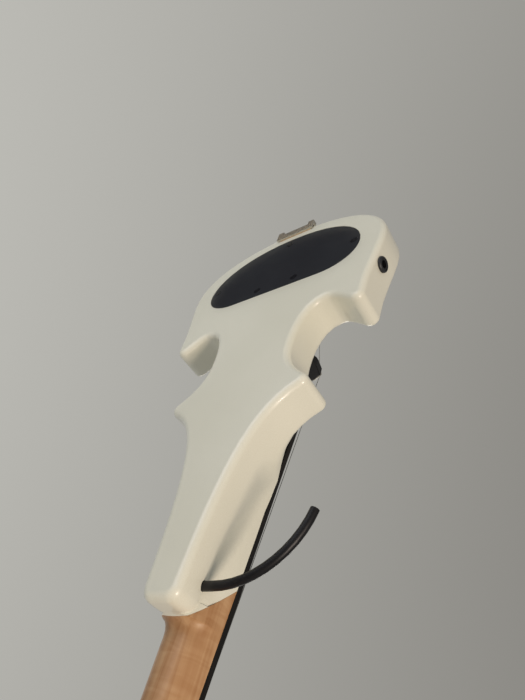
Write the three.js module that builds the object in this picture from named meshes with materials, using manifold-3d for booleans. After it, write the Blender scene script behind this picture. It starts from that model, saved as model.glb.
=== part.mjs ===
// Solid-body electric violin, lying on its back.
// Millimetres. The origin is on the back face, under the bridge. +X runs to the tail,
// +Y to the treble side and +Z out of the front.

import * as THREE from 'three';
import { mergeGeometries, mergeVertices } from 'three/addons/utils/BufferGeometryUtils.js';
import Module from 'manifold-3d';

const wasm = await Module();
wasm.setup();

// Layout along the strings
const STRING_LENGTH = 325;
const BRIDGE_TO_HEEL = 220;
const BRIDGE_TO_TAIL = 139;
const BODY_LENGTH = BRIDGE_TO_HEEL + BRIDGE_TO_TAIL;
const NUT_SEAT_HEIGHT = 32.9;

// Clearances and the overrun of a cutting tool
const GLUE_LINE = 0.1;
const SEAT_GAP = 0.3;
const OVERRUN = 4;

// Body
const BODY_THICKNESS = 31.5;
const LOWER_BOUT_WIDTH = 200;
const EDGE_RADIUS = 5;
const FRONT_EDGE_RADIUS = 3.5;
const HEEL_WIDTH = 27;
const HEEL_CORNER_RADIUS = 8;
const HORN_TIP_RADIUS = 6;
const CORNER_TIP_RADIUS = 6.5;
const HEEL_FILLET_RADIUS = 8;
const FLUTE_DEPTH = 3.8;
const FLUTE_HEIGHT = 22;
const FLUTE_SPREAD = 5;
const FLUTE_START = 12;
const FLUTE_FULL = 26;
const FLUTE_FADE = 48;
const FLUTE_END = 92;
const FLUTE_CLIMB = 18;
const FLANK_HEIGHT = 8;
const RAMP_START = 87;
const RAMP_END = 125;
const SHOULDER_START = 66;
const SHOULDER_END = 98;

// The half outline is a chain of curves. Each point is a share of the body's length
// from the heel, then a share of half the lower bout's width. Headings are in degrees
// from the direction of the tail, and a handle is a share of the body's length.
const flankStart = { heading: 3, handleShare: 0.187 };
const flankShares = [[0.341, 0.250], [0.3835, 0.550]];
const hornExit = { heading: -52, handleShare: 0.045 };
const waistEntryShares = [[0.465, 0.372], [0.510, 0.372]];
const waistExitShares = [[0.560, 0.372], [0.6345, 0.42], [0.6345, 0.58]];
const cornerEntryShares = [[0.6345, 0.65], [0.613, 0.727], [0.599, 0.789]];
const cornerExit = { heading: 1, handleShare: 0.085 };
const boutShares = [[0.766, 1], [0.822, 1]];
const tailShares = [[0.939, 1], [1, 0.55], [1, 0]];
const outlineSteps = { heelCorner: 4, flank: 13, horn: 6, waist: 6, corner: 6, bout: 5, tail: 11 };
const slabWallShares = [0.25, 0.5, 0.75, 1];
const neckWallShares = [0.28, 0.4, 0.52, 0.64, 0.76, 0.88, 1];

// Neck, pegbox and scroll
const NECK_DEPTH_AT_NUT = 14;
const NECK_DEPTH_AT_HEEL = 18.4;
const PAINT_LINE_X = -237.5;
const paintLineDegrees = 45;
const TENON_WIDTH = 18;
const TENON_LENGTH = 34;
const TENON_DEPTH = 15;
const TENON_CHAMFER = 3;
const neckRoundness = 2.3;
const neckSectionSteps = 14;
const heelFilletShares = [0, 0.35, 0.65, 0.85, 0.96, 1];
const PEGBOX_WIDTH_AT_NUT = 24;
const PEGBOX_WIDTH_AT_SCROLL = 19;
const PEGBOX_LENGTH = 74;
const PEGBOX_DEPTH = 27;
const PEGBOX_CHANNEL_WIDTH = 13.4;
const SCROLL_RADIUS = 19;
const SCROLL_SETBACK = 88;
const SCROLL_DROP = 10.5;
const SCROLL_EYE_RADIUS = 4.4;
const SCROLL_WIDTH = 41;
const SCROLL_EDGE = 0.9;
const scrollTurns = 2.25;
const scrollStepsPerTurn = 16;
// The turn at which each level starts, then its width
const scrollShares = [[0, 0.4], [0.5, 0.6], [1, 0.8]];
// Along the pegbox, then down to its top edge and its back, then how square it is
const pegboxShares = [
  [0.08, 0, 0.56, 2.6],
  [0.14, 0.04, 0.72, 3.2],
  [0.24, 0.05, 0.93, 4],
  [0.36, 0.07, 1, 5],
  [0.6, 0.12, 0.91, 5],
  [0.82, 0.16, 0.86, 5],
  [1, 0.26, 0.93, 5],
  [1.188, 0.5, 1.085, 5],
];
const channelShares = [[0.12, -0.3], [0.12, 0.32], [0.26, 0.68], [0.42, 0.75], [0.8, 0.62], [0.93, 0.4], [0.93, -0.3]];

// Fingerboard and nut
const fingerboardLengthShare = 0.83077;
const FINGERBOARD_LENGTH = fingerboardLengthShare * STRING_LENGTH;
const FINGERBOARD_WIDTH_AT_NUT = 24;
const FINGERBOARD_WIDTH_AT_END = 42;
const FINGERBOARD_EDGE = 4.2;
const FINGERBOARD_CROWN_RADIUS = 42;
const FINGERBOARD_HOLLOW = 2.4;
const FINGERBOARD_HOLLOW_RIM = 4.5;
const FINGERBOARD_HOLLOW_LENGTH = 128;
const NUT_LENGTH = 5.5;
const NUT_LIFT = 0.9;
const crownSteps = 6;

// Strings, from the bass side to the treble side. Each has its share of the thickest
// string, of the pegbox's length behind the nut and of the width of its channel.
const STRING_DIAMETER = 0.8;
const STRING_SPREAD_AT_NUT = 16.5;
const bridgeSpreadDegrees = 45;
const STRING_SPREAD_AT_TUNERS = 27;
const strings = [
  { name: 'g', gaugeShare: 1, setbackShare: 0.22973, sideShare: -0.25373, pegSide: -1 },
  { name: 'd', gaugeShare: 1, setbackShare: 0.62162, sideShare: -0.1194, pegSide: -1 },
  { name: 'a', gaugeShare: 0.875, setbackShare: 0.81757, sideShare: 0.10448, pegSide: 1 },
  { name: 'e', gaugeShare: 0.625, setbackShare: 0.42568, sideShare: 0.25373, pegSide: 1 },
];

// Pegs
const PEG_RADIUS = 3.7;
const PEG_DROP = 9.5;
const PEG_COLLAR_RADIUS = 5.2;
const PEG_COLLAR_LENGTH = 2.6;
const PEG_NECK_RADIUS = 3;
const PEG_NECK_LENGTH = 5;
const PEG_HEAD_WIDTH = 24;
const PEG_HEAD_LENGTH = 19;
const PEG_HEAD_THICKNESS = 6;
const PEG_STANDOFF = 9;
const PEG_STUB = 1.2;
const PEG_EDGE = 1.4;
const WINDING_LENGTH = 4.4;
const windingTurns = 4;

// Bridge and the string saddles on it
const BRIDGE_TOP_HEIGHT = 72.5;
const BRIDGE_RISE_OVER_NECK = 17.5;
const BRIDGE_CROWN_RADIUS = 42;
const BRIDGE_WIDTH = 48;
const BRIDGE_THICKNESS = 9;
const BRIDGE_ARCH_WIDTH = 26;
const BRIDGE_ARCH_HEIGHT = 15;
const BRIDGE_EDGE = 0.6;
// From the foot up, as shares of half the width and of the height
const bridgeShares = [[1, 0], [1, 0.08], [0.93, 0.15], [0.88, 0.34], [0.95, 0.5], [0.95, 0.57], [0.86, 0.82]];
const SADDLE_HEIGHT = 2.4;
const SADDLE_WIDTH = 7.6;
const SADDLE_LENGTH = 8;
const SADDLE_ROUND = 1.4;

// Tailpiece and the fine tuners built into it
const TAILPIECE_SETBACK = 53;
const TAILPIECE_LENGTH = 78;
const TAILPIECE_WIDTH = 43;
const TAILPIECE_DEPTH = 7.5;
const TAILPIECE_WALL = 2.6;
const TAILPIECE_CROWN = 3.5;
const TAILPIECE_HEIGHT_AT_STRINGS = 52.5;
const TAILPIECE_HEIGHT_AT_TAIL = 41.5;
const LEVER_SLOT_WIDTH = 4.6;
const LEVER_SLOT_START = 3;
const LEVER_SLOT_LENGTH = 11;
const LEVER_THICKNESS = 4;
const LEVER_PIVOT_SETBACK = 13;
const LEVER_PIVOT_DROP = 9.4;
const LEVER_BALL_RADIUS = 1.6;
const TUNER_PIN_RADIUS = 1.1;
const TUNER_LUG_THICKNESS = 3;
const TUNER_LUG_LENGTH = 8;
const TUNER_LUG_SPREAD = 18;
const TUNER_SCREW_SETBACK = 27;
const TUNER_SCREW_RADIUS = 1.5;
const TUNER_HEAD_RADIUS = 3.4;
const TUNER_HEAD_HEIGHT = 5;
const TUNER_HEAD_STANDOFF = 3;
// Along the tailpiece, then its width there
const tailpieceShares = [[0, 0.93], [0.04, 1], [0.2, 0.98], [0.5, 0.72], [0.88, 0.48], [1, 0.42]];
const tailpieceHollowShares = [[0.045, 0.96], [0.2, 0.98], [0.5, 0.72], [0.8, 0.53]];
// The lever's outline and its ball, from the pivot, as shares of the pivot's drop
const leverShares = [
  [-0.277, -0.128],
  [-0.128, -0.255],
  [0.17, -0.255],
  [1.915, -0.17],
  [1.915, 0.043],
  [0.362, 0.043],
  [-0.532, 1.191],
  [-1, 1.191],
];
const leverBallShare = [-0.766, 1.277];

// Tail saddle, end button and tail loop
const TAIL_SADDLE_WIDTH = 18;
const TAIL_SADDLE_LENGTH = 9;
const TAIL_SADDLE_DEPTH = 4;
const TAIL_SADDLE_RISE = 4;
const BUTTON_HEIGHT = 15;
const BUTTON_SHANK_RADIUS = 3.6;
const BUTTON_SHANK_LENGTH = 20;
const BUTTON_GROOVE_RADIUS = 4.4;
const BUTTON_FLANGE = 1.2;
const BUTTON_GROOVE_LENGTH = 3.4;
const BUTTON_HEAD_RADIUS = 7.2;
const BUTTON_HEAD_LENGTH = 6.5;
const TAIL_LOOP_RADIUS = 1.2;
const TAIL_LOOP_BORE = 9;
const TAIL_LOOP_DROP = 5;
const tailLoopY = BUTTON_GROOVE_RADIUS + TAIL_LOOP_RADIUS + SEAT_GAP;

// Chin rest and its clamp
const CLAMP_SHIFT = 2.5;
const CLAMP_SPREAD = 34;
const CLAMP_STANDOFF = 0.5;
const CLAMP_MIDDLE_HEIGHT = 15.5;
const CLAMP_BARREL_RADIUS = 3;
const CLAMP_BARREL_LENGTH = 17;
const CLAMP_POST_RADIUS = 1.6;
const CLAMP_ENGAGEMENT = 7;
const CLAMP_BAR_WIDTH = 6;
const CLAMP_BAR_THICKNESS = 1.8;
const CLAMP_FOOT_WIDTH = 7;
const CLAMP_FOOT_SETBACK = 1.5;
const CLAMP_LUG_RADIUS = 2.8;
const CLAMP_LUG_HEIGHT = 4.4;
const CLAMP_LUG_RISE = 1;
const CLAMP_KEYHOLE_RADIUS = 0.9;
const CORK_THICKNESS = 1.5;
const FOOT_CORK_THICKNESS = 0.8;
const CHINREST_LIFT = 17;
const CHINREST_ARM_THICKNESS = 9;
const CHINREST_EDGE = 2.4;
const CHINREST_LENGTH = 76;
const CHINREST_WIDTH = 121;
const CHINREST_BASS_REACH = 90;
const CHINREST_TUNNEL_WIDTH = 46;
const CHINREST_FOOT_HEIGHT = 10.5;
const CHINREST_FOOT_LENGTH = 11;
const CHINREST_FOOT_WIDTH = 12;
const CHINREST_FOOT_SHIFT = 3;
const CHINREST_CORK_INSET = 0.4;
const CHINREST_DISH_RADIUS = 90;
const CHINREST_DISH_WIDTH = 66;
const CHINREST_DISH_X = 103;
const CHINREST_DISH_Y = -54;
// From the rear edge forwards, then from the bass end across
const chinrestShares = [
  [0, 0.58],
  [0, 0.95],
  [0.19, 1],
  [0.37, 0.97],
  [0.46, 0.87],
  [0.56, 0.72],
  [0.72, 0.59],
  [0.9, 0.47],
  [1, 0.33],
  [0.985, 0.18],
  [0.87, 0.05],
  [0.68, 0],
  [0.46, 0.05],
  [0.28, 0.165],
  [0.15, 0.31],
  [0.06, 0.44],
];

// Electronics: recess and cover, screws, cavity, battery, board, jack, pots and knobs
const COVER_THICKNESS = 2;
const COVER_LEDGE = 6;
const COVER_POST_RADIUS = 4;
const CAVITY_DEPTH = 22;
const COVER_SCREW_HEAD_RADIUS = 2.8;
const COVER_SCREW_HEAD_HEIGHT = 0.7;
const COVER_SCREW_RADIUS = 1.4;
const COVER_SCREW_LENGTH = 7;
const BATTERY_LENGTH = 48.5;
const BATTERY_WIDTH = 26.5;
const BATTERY_THICKNESS = 17.5;
const BATTERY_EDGE = 1.6;
const BATTERY_TERMINAL_RADIUS = 3;
const BATTERY_TERMINAL_LENGTH = 2.2;
const BATTERY_X = 73;
const BATTERY_Y = -36;
const BOARD_LENGTH = 34;
const BOARD_WIDTH = 42;
const BOARD_THICKNESS = 1.6;
const BOARD_X = 74;
const BOARD_Y = 14;
const BOARD_BOSS_RADIUS = 3;
const BOARD_BOSS_HEIGHT = 9;
const CHIP_HEIGHT = 2;
// Where each chip sits on the board, then its length and width
const chipShares = [[-0.15, -0.18, 0.28, 0.2], [0.18, 0.12, 0.24, 0.34], [-0.2, 0.26, 0.2, 0.16]];
const JACK_X = 44;
const JACK_HEIGHT = 11.5;
const JACK_BORE_RADIUS = 3.4;
const JACK_BUSH_RADIUS = 4.75;
const JACK_BODY_RADIUS = 7;
const JACK_BODY_LENGTH = 20;
const JACK_RING_RADIUS = 6.6;
const JACK_RING_LENGTH = 2.2;
const JACK_WALL = 7;
const POT_RADIUS = 8;
const POT_HEIGHT = 7;
const POT_BUSH_RADIUS = 3.5;
const POT_SHAFT_RADIUS = 3;
const POT_SHAFT_LENGTH = 8;
const KNOB_RADIUS = 9.5;
const KNOB_HEIGHT = 13;
const KNOB_BORE_DEPTH = 9;
const KNOB_ROUND = 1.5;
// Each knob's place: shares of the way from bridge to tail, then of half the lower bout
const knobs = [
  { name: 'volume', alongShare: 0.48921, acrossShare: 0.56 },
  { name: 'tone', alongShare: 0.68345, acrossShare: 0.46 },
];

// Cover outline: shares of its length across the ends, then of half its width
const COVER_FRONT_X = 43.4;
const COVER_LENGTH = 80.6;
const coverWidthShare = 0.782;
const coverSteps = 10;
const coverFrontShare = 0.57;
const coverEndShares = [[0.005, 0.8], [0.14, 1], [0.37, 1]];
const coverTailShares = [[0.69, 1], [1, 0.64], [1, 0]];
const coverScrewShares = [[0.9, 0], [0.4, 0.923], [0.4, -0.923], [0.115, 0.243], [0.115, -0.243]];

// Hand guide: a bent steel rod in a rubber sleeve
const GUIDE_X = -204.3;
const GUIDE_HEIGHT = 18.6;
const GUIDE_ROD_RADIUS = 1.8;
const GUIDE_SLEEVE_RADIUS = 2.7;
const GUIDE_SOCKET_DEPTH = 14;
const GUIDE_COUNTERBORE = 2;
const GUIDE_STRAIGHT = 6;
const GUIDE_BEND_RADIUS = 55;
const guideBendDegrees = 74.5;
const GUIDE_TIP = 6;
const guideSteps = 12;

// Finishes
const PEARL_WHITE = new THREE.MeshStandardMaterial({ color: 0xd9d6c6, roughness: 0.16, metalness: 0 });
const MAPLE = new THREE.MeshStandardMaterial({ color: 0xb07a45, roughness: 0.22, metalness: 0 });
const EBONY = new THREE.MeshStandardMaterial({ color: 0x17130f, roughness: 0.45, metalness: 0 });
const BLACK_PLASTIC = new THREE.MeshStandardMaterial({ color: 0x1b1c1f, roughness: 0.5, metalness: 0 });
const BLACK_RUBBER = new THREE.MeshStandardMaterial({ color: 0x0d0d10, roughness: 0.6, metalness: 0 });
const NICKEL = new THREE.MeshStandardMaterial({ color: 0xb9b2a6, roughness: 0.28, metalness: 1 });
const BLACK_METAL = new THREE.MeshStandardMaterial({ color: 0x141416, roughness: 0.35, metalness: 1 });
const STEEL = new THREE.MeshStandardMaterial({ color: 0xb4b4b2, roughness: 0.3, metalness: 1 });
const CORK = new THREE.MeshStandardMaterial({ color: 0xb58a58, roughness: 0.9, metalness: 0 });
const BATTERY_SHELL = new THREE.MeshStandardMaterial({ color: 0x30343a, roughness: 0.4, metalness: 0.3 });
const CIRCUIT_GREEN = new THREE.MeshStandardMaterial({ color: 0x1d5a34, roughness: 0.5, metalness: 0 });

const violin = new THREE.Group();

// Adds one sub-part to a group
const add = (name, geometry, material, group = violin) => {
  const mesh = new THREE.Mesh(geometry, material);
  mesh.name = name;
  group.add(mesh);
  return mesh;
};

// Solids: a three.js geometry goes into a boolean and comes back
const toSolid = (geometry) => {
  const bare = geometry.clone();
  bare.deleteAttribute('normal');
  bare.deleteAttribute('uv');
  const merged = mergeVertices(bare, 1e-4);
  return new wasm.Manifold(new wasm.Mesh({
    numProp: 3,
    vertProperties: new Float32Array(merged.attributes.position.array),
    triVerts: new Uint32Array(merged.index.array),
  }));
};

const toGeometry = (solid) => {
  const mesh = solid.getMesh();
  const geometry = new THREE.BufferGeometry();
  geometry.setAttribute('position', new THREE.BufferAttribute(mesh.vertProperties, 3));
  geometry.setIndex(new THREE.BufferAttribute(mesh.triVerts, 1));
  return geometry;
};

const joined = (...geometries) => {
  const [first, ...rest] = geometries.map(toSolid);
  return toGeometry(rest.reduce((solid, next) => solid.add(next), first));
};

const cut = (geometry, ...tools) => {
  const solid = tools.map(toSolid).reduce((left, tool) => left.subtract(tool), toSolid(geometry));
  return toGeometry(solid);
};

// Shapes used by more than one piece
const smoothstep = (value, from, to) => THREE.MathUtils.smoothstep(value, from, to);
const lerp = (from, to, share) => THREE.MathUtils.lerp(from, to, share);
const neckPitchShare = (BRIDGE_TOP_HEIGHT - BRIDGE_RISE_OVER_NECK - NUT_SEAT_HEIGHT) / STRING_LENGTH;
const seatHeight = (x) => NUT_SEAT_HEIGHT + neckPitchShare * (x + STRING_LENGTH);
const fingerboardShare = (x) => (x + STRING_LENGTH) / FINGERBOARD_LENGTH;
const fingerboardHalfWidth = (x) => lerp(FINGERBOARD_WIDTH_AT_NUT, FINGERBOARD_WIDTH_AT_END, fingerboardShare(x)) / 2;
const sagitta = (radius, offset) => radius - Math.sqrt(radius * radius - offset * offset);
const heading = (degrees) => {
  const angle = THREE.MathUtils.degToRad(degrees);
  return new THREE.Vector2(Math.cos(angle), Math.sin(angle));
};

// A box given by its centre, with optional turned axes left to the caller
const boxAt = (length, width, height, x, y, z) => new THREE.BoxGeometry(length, width, height).translate(x, y, z);

// A cylinder whose axis is Z
const cylinderZ = (radius, length, x, y, z, sides = 20) => {
  const cylinder = new THREE.CylinderGeometry(radius, radius, length, sides);
  return cylinder.rotateX(Math.PI / 2).translate(x, y, z);
};

// A turned solid from [radius, height] pairs, with its axis along Z
const turnedZ = (profile, sides = 20) => {
  const points = profile.map(([radius, height]) => new THREE.Vector2(radius, height));
  return new THREE.LatheGeometry(points, sides).rotateX(Math.PI / 2);
};

// A closed solid through sections that have the same number of points
const loft = (sections) => {
  const count = sections[0].length;
  const positions = sections.flat().flatMap((point) => [point.x, point.y, point.z]);
  const index = [];
  for (let section = 0; section < sections.length - 1; section += 1) {
    for (let point = 0; point < count; point += 1) {
      const next = (point + 1) % count;
      const a = section * count + point;
      const b = section * count + next;
      index.push(a, b, b + count, a, b + count, a + count);
    }
  }
  const last = (sections.length - 1) * count;
  for (let point = 1; point < count - 1; point += 1) {
    index.push(0, point + 1, point);
    index.push(last, last + point, last + point + 1);
  }
  const geometry = new THREE.BufferGeometry();
  geometry.setAttribute('position', new THREE.Float32BufferAttribute(positions, 3));
  geometry.setIndex(index);
  return geometry;
};

// A prism from an outline of pairs, centred on its depth
const prism = (outline, depth, bevel = 0) => {
  const settings = {
    depth: depth - 2 * bevel,
    bevelEnabled: bevel > 0,
    bevelSize: bevel,
    bevelOffset: -bevel,
    bevelThickness: bevel,
    bevelSegments: 1,
  };
  const shape = new THREE.Shape(outline.map(([across, up]) => new THREE.Vector2(across, up)));
  return new THREE.ExtrudeGeometry(shape, settings).translate(0, 0, bevel - depth / 2);
};

// The same across Y, from [x, z] pairs
const prismAcross = (outline, width, bevel = 0) => prism(outline, width, bevel).rotateX(Math.PI / 2);

// Outline of the body, one half, from the heel's edge to the tail's centre
const bodyPlace = ([alongShare, acrossShare]) => new THREE.Vector2(
  -BRIDGE_TO_HEEL + alongShare * BODY_LENGTH,
  (acrossShare * LOWER_BOUT_WIDTH) / 2,
);

const tipArc = (start, startHeading, endHeading, radius) => {
  const centre = new THREE.Vector2(startHeading.y, -startHeading.x).multiplyScalar(radius).add(start);
  const startAngle = Math.atan2(start.y - centre.y, start.x - centre.x);
  const endAngle = Math.atan2(endHeading.x, -endHeading.y);
  return new THREE.EllipseCurve(centre.x, centre.y, radius, radius, startAngle, endAngle, true);
};

const bodyHalfCurves = () => {
  const chain = [];
  const bezier = (steps, ...points) => {
    chain.push({ curve: new THREE.CubicBezierCurve(...points), steps });
    return points[3];
  };
  const arc = (steps, start, startHeading, exit, radius) => {
    const curve = tipArc(start, startHeading, heading(exit.heading), radius);
    chain.push({ curve, steps });
    const end = curve.getPoint(1);
    const handle = heading(exit.heading).multiplyScalar((exit.handleShare ?? 0) * BODY_LENGTH).add(end);
    return { end, handle };
  };
  const heelEdge = new THREE.Vector2(-BRIDGE_TO_HEEL, HEEL_WIDTH / 2 - HEEL_CORNER_RADIUS);
  const heelCorner = arc(outlineSteps.heelCorner, heelEdge, heading(90), flankStart, HEEL_CORNER_RADIUS);
  const [flankControl, hornEntry] = flankShares.map(bodyPlace);
  bezier(outlineSteps.flank, heelCorner.end, heelCorner.handle, flankControl, hornEntry);
  const hornHeading = hornEntry.clone().sub(flankControl).normalize();
  const horn = arc(outlineSteps.horn, hornEntry, hornHeading, hornExit, HORN_TIP_RADIUS);
  const waist = bezier(outlineSteps.waist, horn.end, horn.handle, ...waistEntryShares.map(bodyPlace));
  const hollow = bezier(outlineSteps.waist, waist, ...waistExitShares.map(bodyPlace));
  const cornerPoints = cornerEntryShares.map(bodyPlace);
  const cornerEntry = bezier(outlineSteps.waist, hollow, ...cornerPoints);
  const cornerHeading = cornerEntry.clone().sub(cornerPoints[1]).normalize();
  const corner = arc(outlineSteps.corner, cornerEntry, cornerHeading, cornerExit, CORNER_TIP_RADIUS);
  const bout = bezier(outlineSteps.bout, corner.end, corner.handle, ...boutShares.map(bodyPlace));
  bezier(outlineSteps.tail, bout, ...tailShares.map(bodyPlace));
  return chain;
};

// The points of the half outline, and how many of them lead from the heel to the waist
const bodyHalfOutline = () => {
  const chain = bodyHalfCurves();
  const points = [chain[0].curve.getPoint(0)];
  chain.forEach(({ curve, steps }) => points.push(...curve.getPoints(steps).slice(1)));
  const waistIndex = chain.slice(0, 4).reduce((total, { steps }) => total + steps, 0);
  return { points, waistIndex };
};

// Levels up the wall: how far in from the outline, and how high
const filletSteps = [0, 30, 60, 90].map(THREE.MathUtils.degToRad);
const slabLevels = () => {
  const fillet = (radius) => filletSteps.map((angle) => [
    radius * (1 - Math.sin(angle)),
    radius * (1 - Math.cos(angle)),
  ]);
  const back = fillet(EDGE_RADIUS);
  const wallTop = BODY_THICKNESS - FRONT_EDGE_RADIUS;
  const wall = slabWallShares.map((share) => [0, lerp(EDGE_RADIUS, wallTop, share)]);
  const front = fillet(FRONT_EDGE_RADIUS).slice(0, -1).reverse();
  front.forEach((level) => level.push(BODY_THICKNESS - level.pop()));
  return [...back, ...wall, ...front];
};

// Half width of the neck block at a height, as a share of the outline's half width there
const neckBlockShare = (x, height, outlineHalfWidth) => {
  const fromHeel = x + BRIDGE_TO_HEEL;
  const top = seatHeight(x) - GLUE_LINE;
  const lean = smoothstep(height, FLANK_HEIGHT, top);
  const plain = lerp(outlineHalfWidth, fingerboardHalfWidth(x), lean);
  const climbShare = Math.max(0, (fromHeel - FLUTE_FULL) / (FLUTE_END - FLUTE_FULL));
  const fluteHeight = FLUTE_HEIGHT + FLUTE_CLIMB * climbShare ** 1.7;
  const along = smoothstep(fromHeel, FLUTE_START, FLUTE_FULL) * (1 - smoothstep(fromHeel, FLUTE_FADE, FLUTE_END));
  const fromFlute = (height - fluteHeight) / FLUTE_SPREAD;
  const flute = FLUTE_DEPTH * along * Math.exp(-fromFlute * fromFlute);
  return (plain - flute) / outlineHalfWidth;
};

const bodyShell = () => {
  const { points, waistIndex } = bodyHalfOutline();
  const levels = slabLevels();
  const last = points.length - 1;
  const straightX = -BRIDGE_TO_HEEL + HEEL_CORNER_RADIUS + FLUTE_START / 2;
  const straight = points.find((point) => point.x > straightX);
  const side = (index, level) => {
    const point = points[index];
    const before = index === 0 ? new THREE.Vector2(points[0].x, -points[0].y) : points[index - 1];
    const after = index === last ? new THREE.Vector2(points[last - 1].x, -points[last - 1].y) : points[index + 1];
    const tangent = after.clone().sub(before).normalize();
    const [inset, slabHeight] = levels[level];
    const x = point.x + tangent.y * inset;
    const y = point.y - tangent.x * inset;
    const wallStep = level - filletSteps.length;
    if (wallStep < 0) {
      return new THREE.Vector3(x, y, slabHeight);
    }
    const onSlab = smoothstep(point.x + BRIDGE_TO_HEEL, RAMP_START, RAMP_END);
    const onShoulder = smoothstep(point.x + BRIDGE_TO_HEEL, SHOULDER_START, SHOULDER_END);
    const blockX = Math.max(point.x, straight.x);
    const blockHalfWidth = Math.max(point.y, straight.y);
    const blockHeight = neckWallShares[wallStep] * (seatHeight(point.x) - GLUE_LINE);
    const blockY = point.y * neckBlockShare(blockX, blockHeight, blockHalfWidth);
    return new THREE.Vector3(
      lerp(point.x, x, onShoulder),
      lerp(blockY, y, onShoulder),
      lerp(blockHeight, slabHeight, onSlab),
    );
  };
  const mirrored = ({ x, y, z }) => new THREE.Vector3(x, -y, z);
  const rings = levels.map((_, level) => {
    const treble = points.map((__, index) => side(index, level));
    const bass = treble.slice(0, -1).reverse().map(mirrored);
    return [...treble, ...bass];
  });
  return ringSolid(rings, waistIndex);
};

// Closes a stack of mirrored rings. Each face is a strip as far as the waist and a
// flat polygon from there to the tail.
const ringSolid = (rings, waistIndex) => {
  const count = rings[0].length;
  const mirror = (index) => count - 1 - index;
  const index = [];
  for (let level = 0; level < rings.length - 1; level += 1) {
    for (let point = 0; point < count; point += 1) {
      const next = (point + 1) % count;
      const a = level * count + point;
      const b = level * count + next;
      index.push(a, b + count, b, a, a + count, b + count);
    }
  }
  const rest = [];
  for (let point = waistIndex; point <= mirror(waistIndex); point += 1) {
    rest.push(point);
  }
  const close = (level, facing) => {
    const ring = rings[level];
    const triangles = [];
    for (let point = 0; point < waistIndex; point += 1) {
      triangles.push([point, point + 1, mirror(point + 1)], [point, mirror(point + 1), mirror(point)]);
    }
    const contour = rest.map((point) => new THREE.Vector2(ring[point].x, ring[point].y));
    THREE.ShapeUtils.triangulateShape(contour, []).forEach((corners) => {
      triangles.push(corners.map((corner) => rest[corner]));
    });
    triangles.forEach(([a, b, c]) => {
      const [p, q, r] = [ring[a], ring[b], ring[c]];
      const turn = (q.x - p.x) * (r.y - p.y) - (q.y - p.y) * (r.x - p.x);
      const ordered = turn * facing > 0 ? [a, b, c] : [a, c, b];
      index.push(...ordered.map((corner) => level * count + corner));
    });
  };
  close(0, -1);
  close(rings.length - 1, 1);
  const geometry = new THREE.BufferGeometry();
  const positions = rings.flat().flatMap((point) => [point.x, point.y, point.z]);
  geometry.setAttribute('position', new THREE.Float32BufferAttribute(positions, 3));
  geometry.setIndex(index);
  return geometry;
};

// Neck stock: one loft of round-backed sections from the pegbox into the body's heel
const heelX = -BRIDGE_TO_HEEL;
const filletStart = heelX - HEEL_FILLET_RADIUS;

const neckUnderside = (x) => {
  const along = Math.min(1, (x + STRING_LENGTH) / (filletStart + STRING_LENGTH));
  const plain = seatHeight(x) - lerp(NECK_DEPTH_AT_NUT, NECK_DEPTH_AT_HEEL, along);
  const intoFillet = THREE.MathUtils.clamp(x - filletStart, 0, HEEL_FILLET_RADIUS);
  return plain - sagitta(HEEL_FILLET_RADIUS, intoFillet);
};

const roundBackedSection = (x, halfWidth, top, bottom, roundness) => {
  const section = [];
  for (let step = 0; step <= neckSectionSteps; step += 1) {
    const angle = (Math.PI * step) / neckSectionSteps;
    const across = Math.sign(Math.cos(angle)) * Math.abs(Math.cos(angle)) ** (2 / roundness);
    const down = Math.abs(Math.sin(angle)) ** (2 / roundness);
    section.push(new THREE.Vector3(x, halfWidth * across, lerp(top, bottom, down)));
  }
  return section;
};

const neckSection = (x) => roundBackedSection(
  x,
  fingerboardHalfWidth(x),
  seatHeight(x) - GLUE_LINE,
  neckUnderside(x),
  neckRoundness,
);

// Pegbox sections go by their distance past the nut
const pegboxSection = ([alongShare, topShare, bottomShare, roundness]) => {
  const setback = alongShare * PEGBOX_LENGTH;
  const x = -STRING_LENGTH - setback;
  const halfWidth = lerp(PEGBOX_WIDTH_AT_NUT, PEGBOX_WIDTH_AT_SCROLL, Math.min(1, alongShare)) / 2;
  const top = seatHeight(x) - GLUE_LINE - topShare * PEGBOX_DEPTH;
  return roundBackedSection(x, halfWidth, top, seatHeight(x) - bottomShare * PEGBOX_DEPTH, roundness);
};

const filletStations = heelFilletShares.map((share) => filletStart + share * HEEL_FILLET_RADIUS);

// The block on the scroll's side of the paint line, which leans towards the tail
const paintLineAngle = THREE.MathUtils.degToRad(paintLineDegrees);
const paintTop = PAINT_LINE_X + seatHeight(PAINT_LINE_X) * Math.tan(paintLineAngle);

const paintSide = (shift) => {
  const size = BODY_LENGTH;
  const block = boxAt(size, size, size, -size / 2, 0, 0);
  return block.rotateY(paintLineAngle).translate(PAINT_LINE_X + shift, 0, 0);
};

const neckStock = () => {
  const end = paintTop + OVERRUN;
  const plainStart = filletStart - STRING_LENGTH / 8;
  return loft([
    ...[end, ...filletStations.toReversed(), plainStart, -STRING_LENGTH].map(neckSection),
    ...pegboxShares.map(pegboxSection),
  ]);
};

// The same stock blended into the body's heel, below the paint line
const heelStock = () => cut(
  loft([heelX + HEEL_CORNER_RADIUS, ...filletStations.toReversed()].map(neckSection)),
  paintSide(-OVERRUN),
);

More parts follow.
